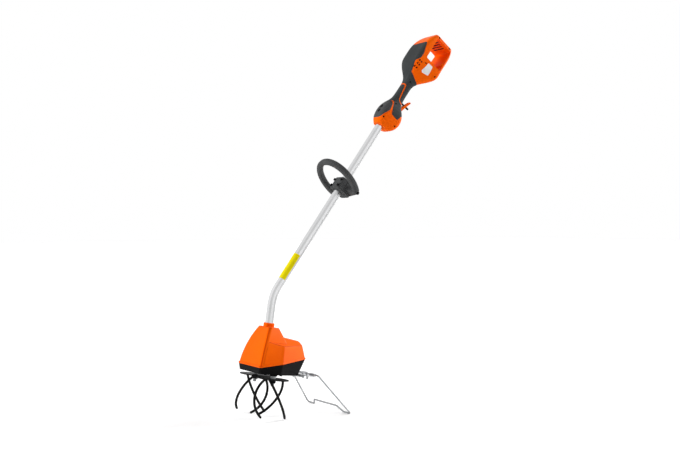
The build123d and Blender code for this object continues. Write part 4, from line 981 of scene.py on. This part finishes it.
# Ends of the upper run and two places in the bend, along the handle in millimetres; lower run in metres
UPPER_ENDS = (500, -590)
BEND_PLACES = (-650, -690)
LOWER_LENGTH = 0.33
NECK = joint_place("motor_spin")
UPPER_RUN = [(on_handle(0, end, 0), ALONG) for end in UPPER_ENDS]
LOWER_RUN = [
    (on_handle(0, BEND_PLACES[0], 0), (ALONG * 2 + HEAD_UP).normalized()),
    (on_handle(0, BEND_PLACES[1], 0), (ALONG + HEAD_UP * 2).normalized()),
    (NECK + HEAD_UP * LOWER_LENGTH, HEAD_UP),
    (NECK, HEAD_UP),
]
# Each card's run, the band of the tube's half width that mirrors it, and its brightness
CARDS = {
    "grey_card": (UPPER_RUN + LOWER_RUN, (-0.42, 0.05), 0.74),
    "pale_card": (UPPER_RUN, (-0.97, -0.42), 0.89),
    "edge_card": (UPPER_RUN + LOWER_RUN, (0.58, 0.86), 0.69),
}


def mirrored(spot, axis, share):
    """The direction that the tube mirrors to the camera at a share of its half width."""
    look = (spot - CAMERA_PLACE).normalized()
    face = (axis * look.dot(axis) - look).normalized()
    normal = face * math.sqrt(1 - share**2) + axis.cross(face) * share
    return look - normal * 2 * look.dot(normal)


def card(name, run, band, shade):
    """A card along the tube, bent so that its reflection keeps to a band of the tube's width."""
    finish = bpy.data.materials.new(name)
    finish.use_nodes = True
    tree = finish.node_tree
    tree.nodes.clear()
    glow = add(tree, "ShaderNodeEmission", {"Color": WHITE, "Strength": shade})
    add(tree, "ShaderNodeOutputMaterial", {}, [("Surface", glow.outputs[0])])
    points, faces = [], []
    for spot, axis in run:
        for k in range(CARD_STEPS + 1):
            share = band[0] + (band[1] - band[0]) * k / CARD_STEPS
            points.append(spot + mirrored(spot, axis, share) * CARD_DISTANCE)
    row = CARD_STEPS + 1
    for start in range(0, len(points) - row, row):
        faces += [(start + k, start + k + 1, start + row + k + 1, start + row + k) for k in range(CARD_STEPS)]
    obj = staged(name, points, faces, finish)
    obj.visible_camera = obj.visible_diffuse = obj.visible_shadow = obj.visible_transmission = False


for name, (run, band, shade) in CARDS.items():
    card(name, run, band, shade)

# White room: at full strength where it is seen or mirrored, weaker where it lights
SEEN_ROOM = 1.0
LIGHTING_ROOM = 0.44
world = bpy.data.worlds.new("studio")
scene.world = world
world.use_nodes = True
tree = world.node_tree
tree.nodes.clear()
rays = add(tree, "ShaderNodeLightPath", {})
direct = add(
    tree,
    "ShaderNodeMath",
    {"operation": "MAXIMUM"},
    [(0, rays.outputs["Is Camera Ray"]), (1, rays.outputs["Is Glossy Ray"])],
)
seen = add(
    tree,
    "ShaderNodeMath",
    {"operation": "MAXIMUM"},
    [(0, direct.outputs[0]), (1, rays.outputs["Is Transmission Ray"])],
)
soft = add(tree, "ShaderNodeBackground", {"Color": WHITE, "Strength": LIGHTING_ROOM})
white = add(tree, "ShaderNodeBackground", {"Color": WHITE, "Strength": SEEN_ROOM})
both = add(
    tree, "ShaderNodeMixShader", {}, [(0, seen.outputs[0]), (1, soft.outputs[0]), (2, white.outputs[0])]
)
add(tree, "ShaderNodeOutputWorld", {}, [("Surface", both.outputs[0])])

# Two softboxes from either side of the camera: where each stands, as shares of the camera's right, up and
# view, its strength, and whether metal mirrors it
SOFTBOX_SPREAD = math.radians(40)
SOFTBOXES = {
    "right_softbox": ((0.8, 0.28, 0.45), 3.5, True),
    "left_softbox": ((-0.85, 0.32, -0.15), 2.5, False),
}
for name, ((right, up, ahead), strength, in_mirrors) in SOFTBOXES.items():
    lamp = bpy.data.lights.new(name, "SUN")
    lamp.energy = strength
    lamp.angle = SOFTBOX_SPREAD
    obj = bpy.data.objects.new(name, lamp)
    scene.collection.objects.link(obj)
    towards = RIGHT * right + UP * up + VIEW * ahead
    obj.rotation_euler = (-towards).to_track_quat("-Z", "Y").to_euler()
    obj.visible_glossy = in_mirrors
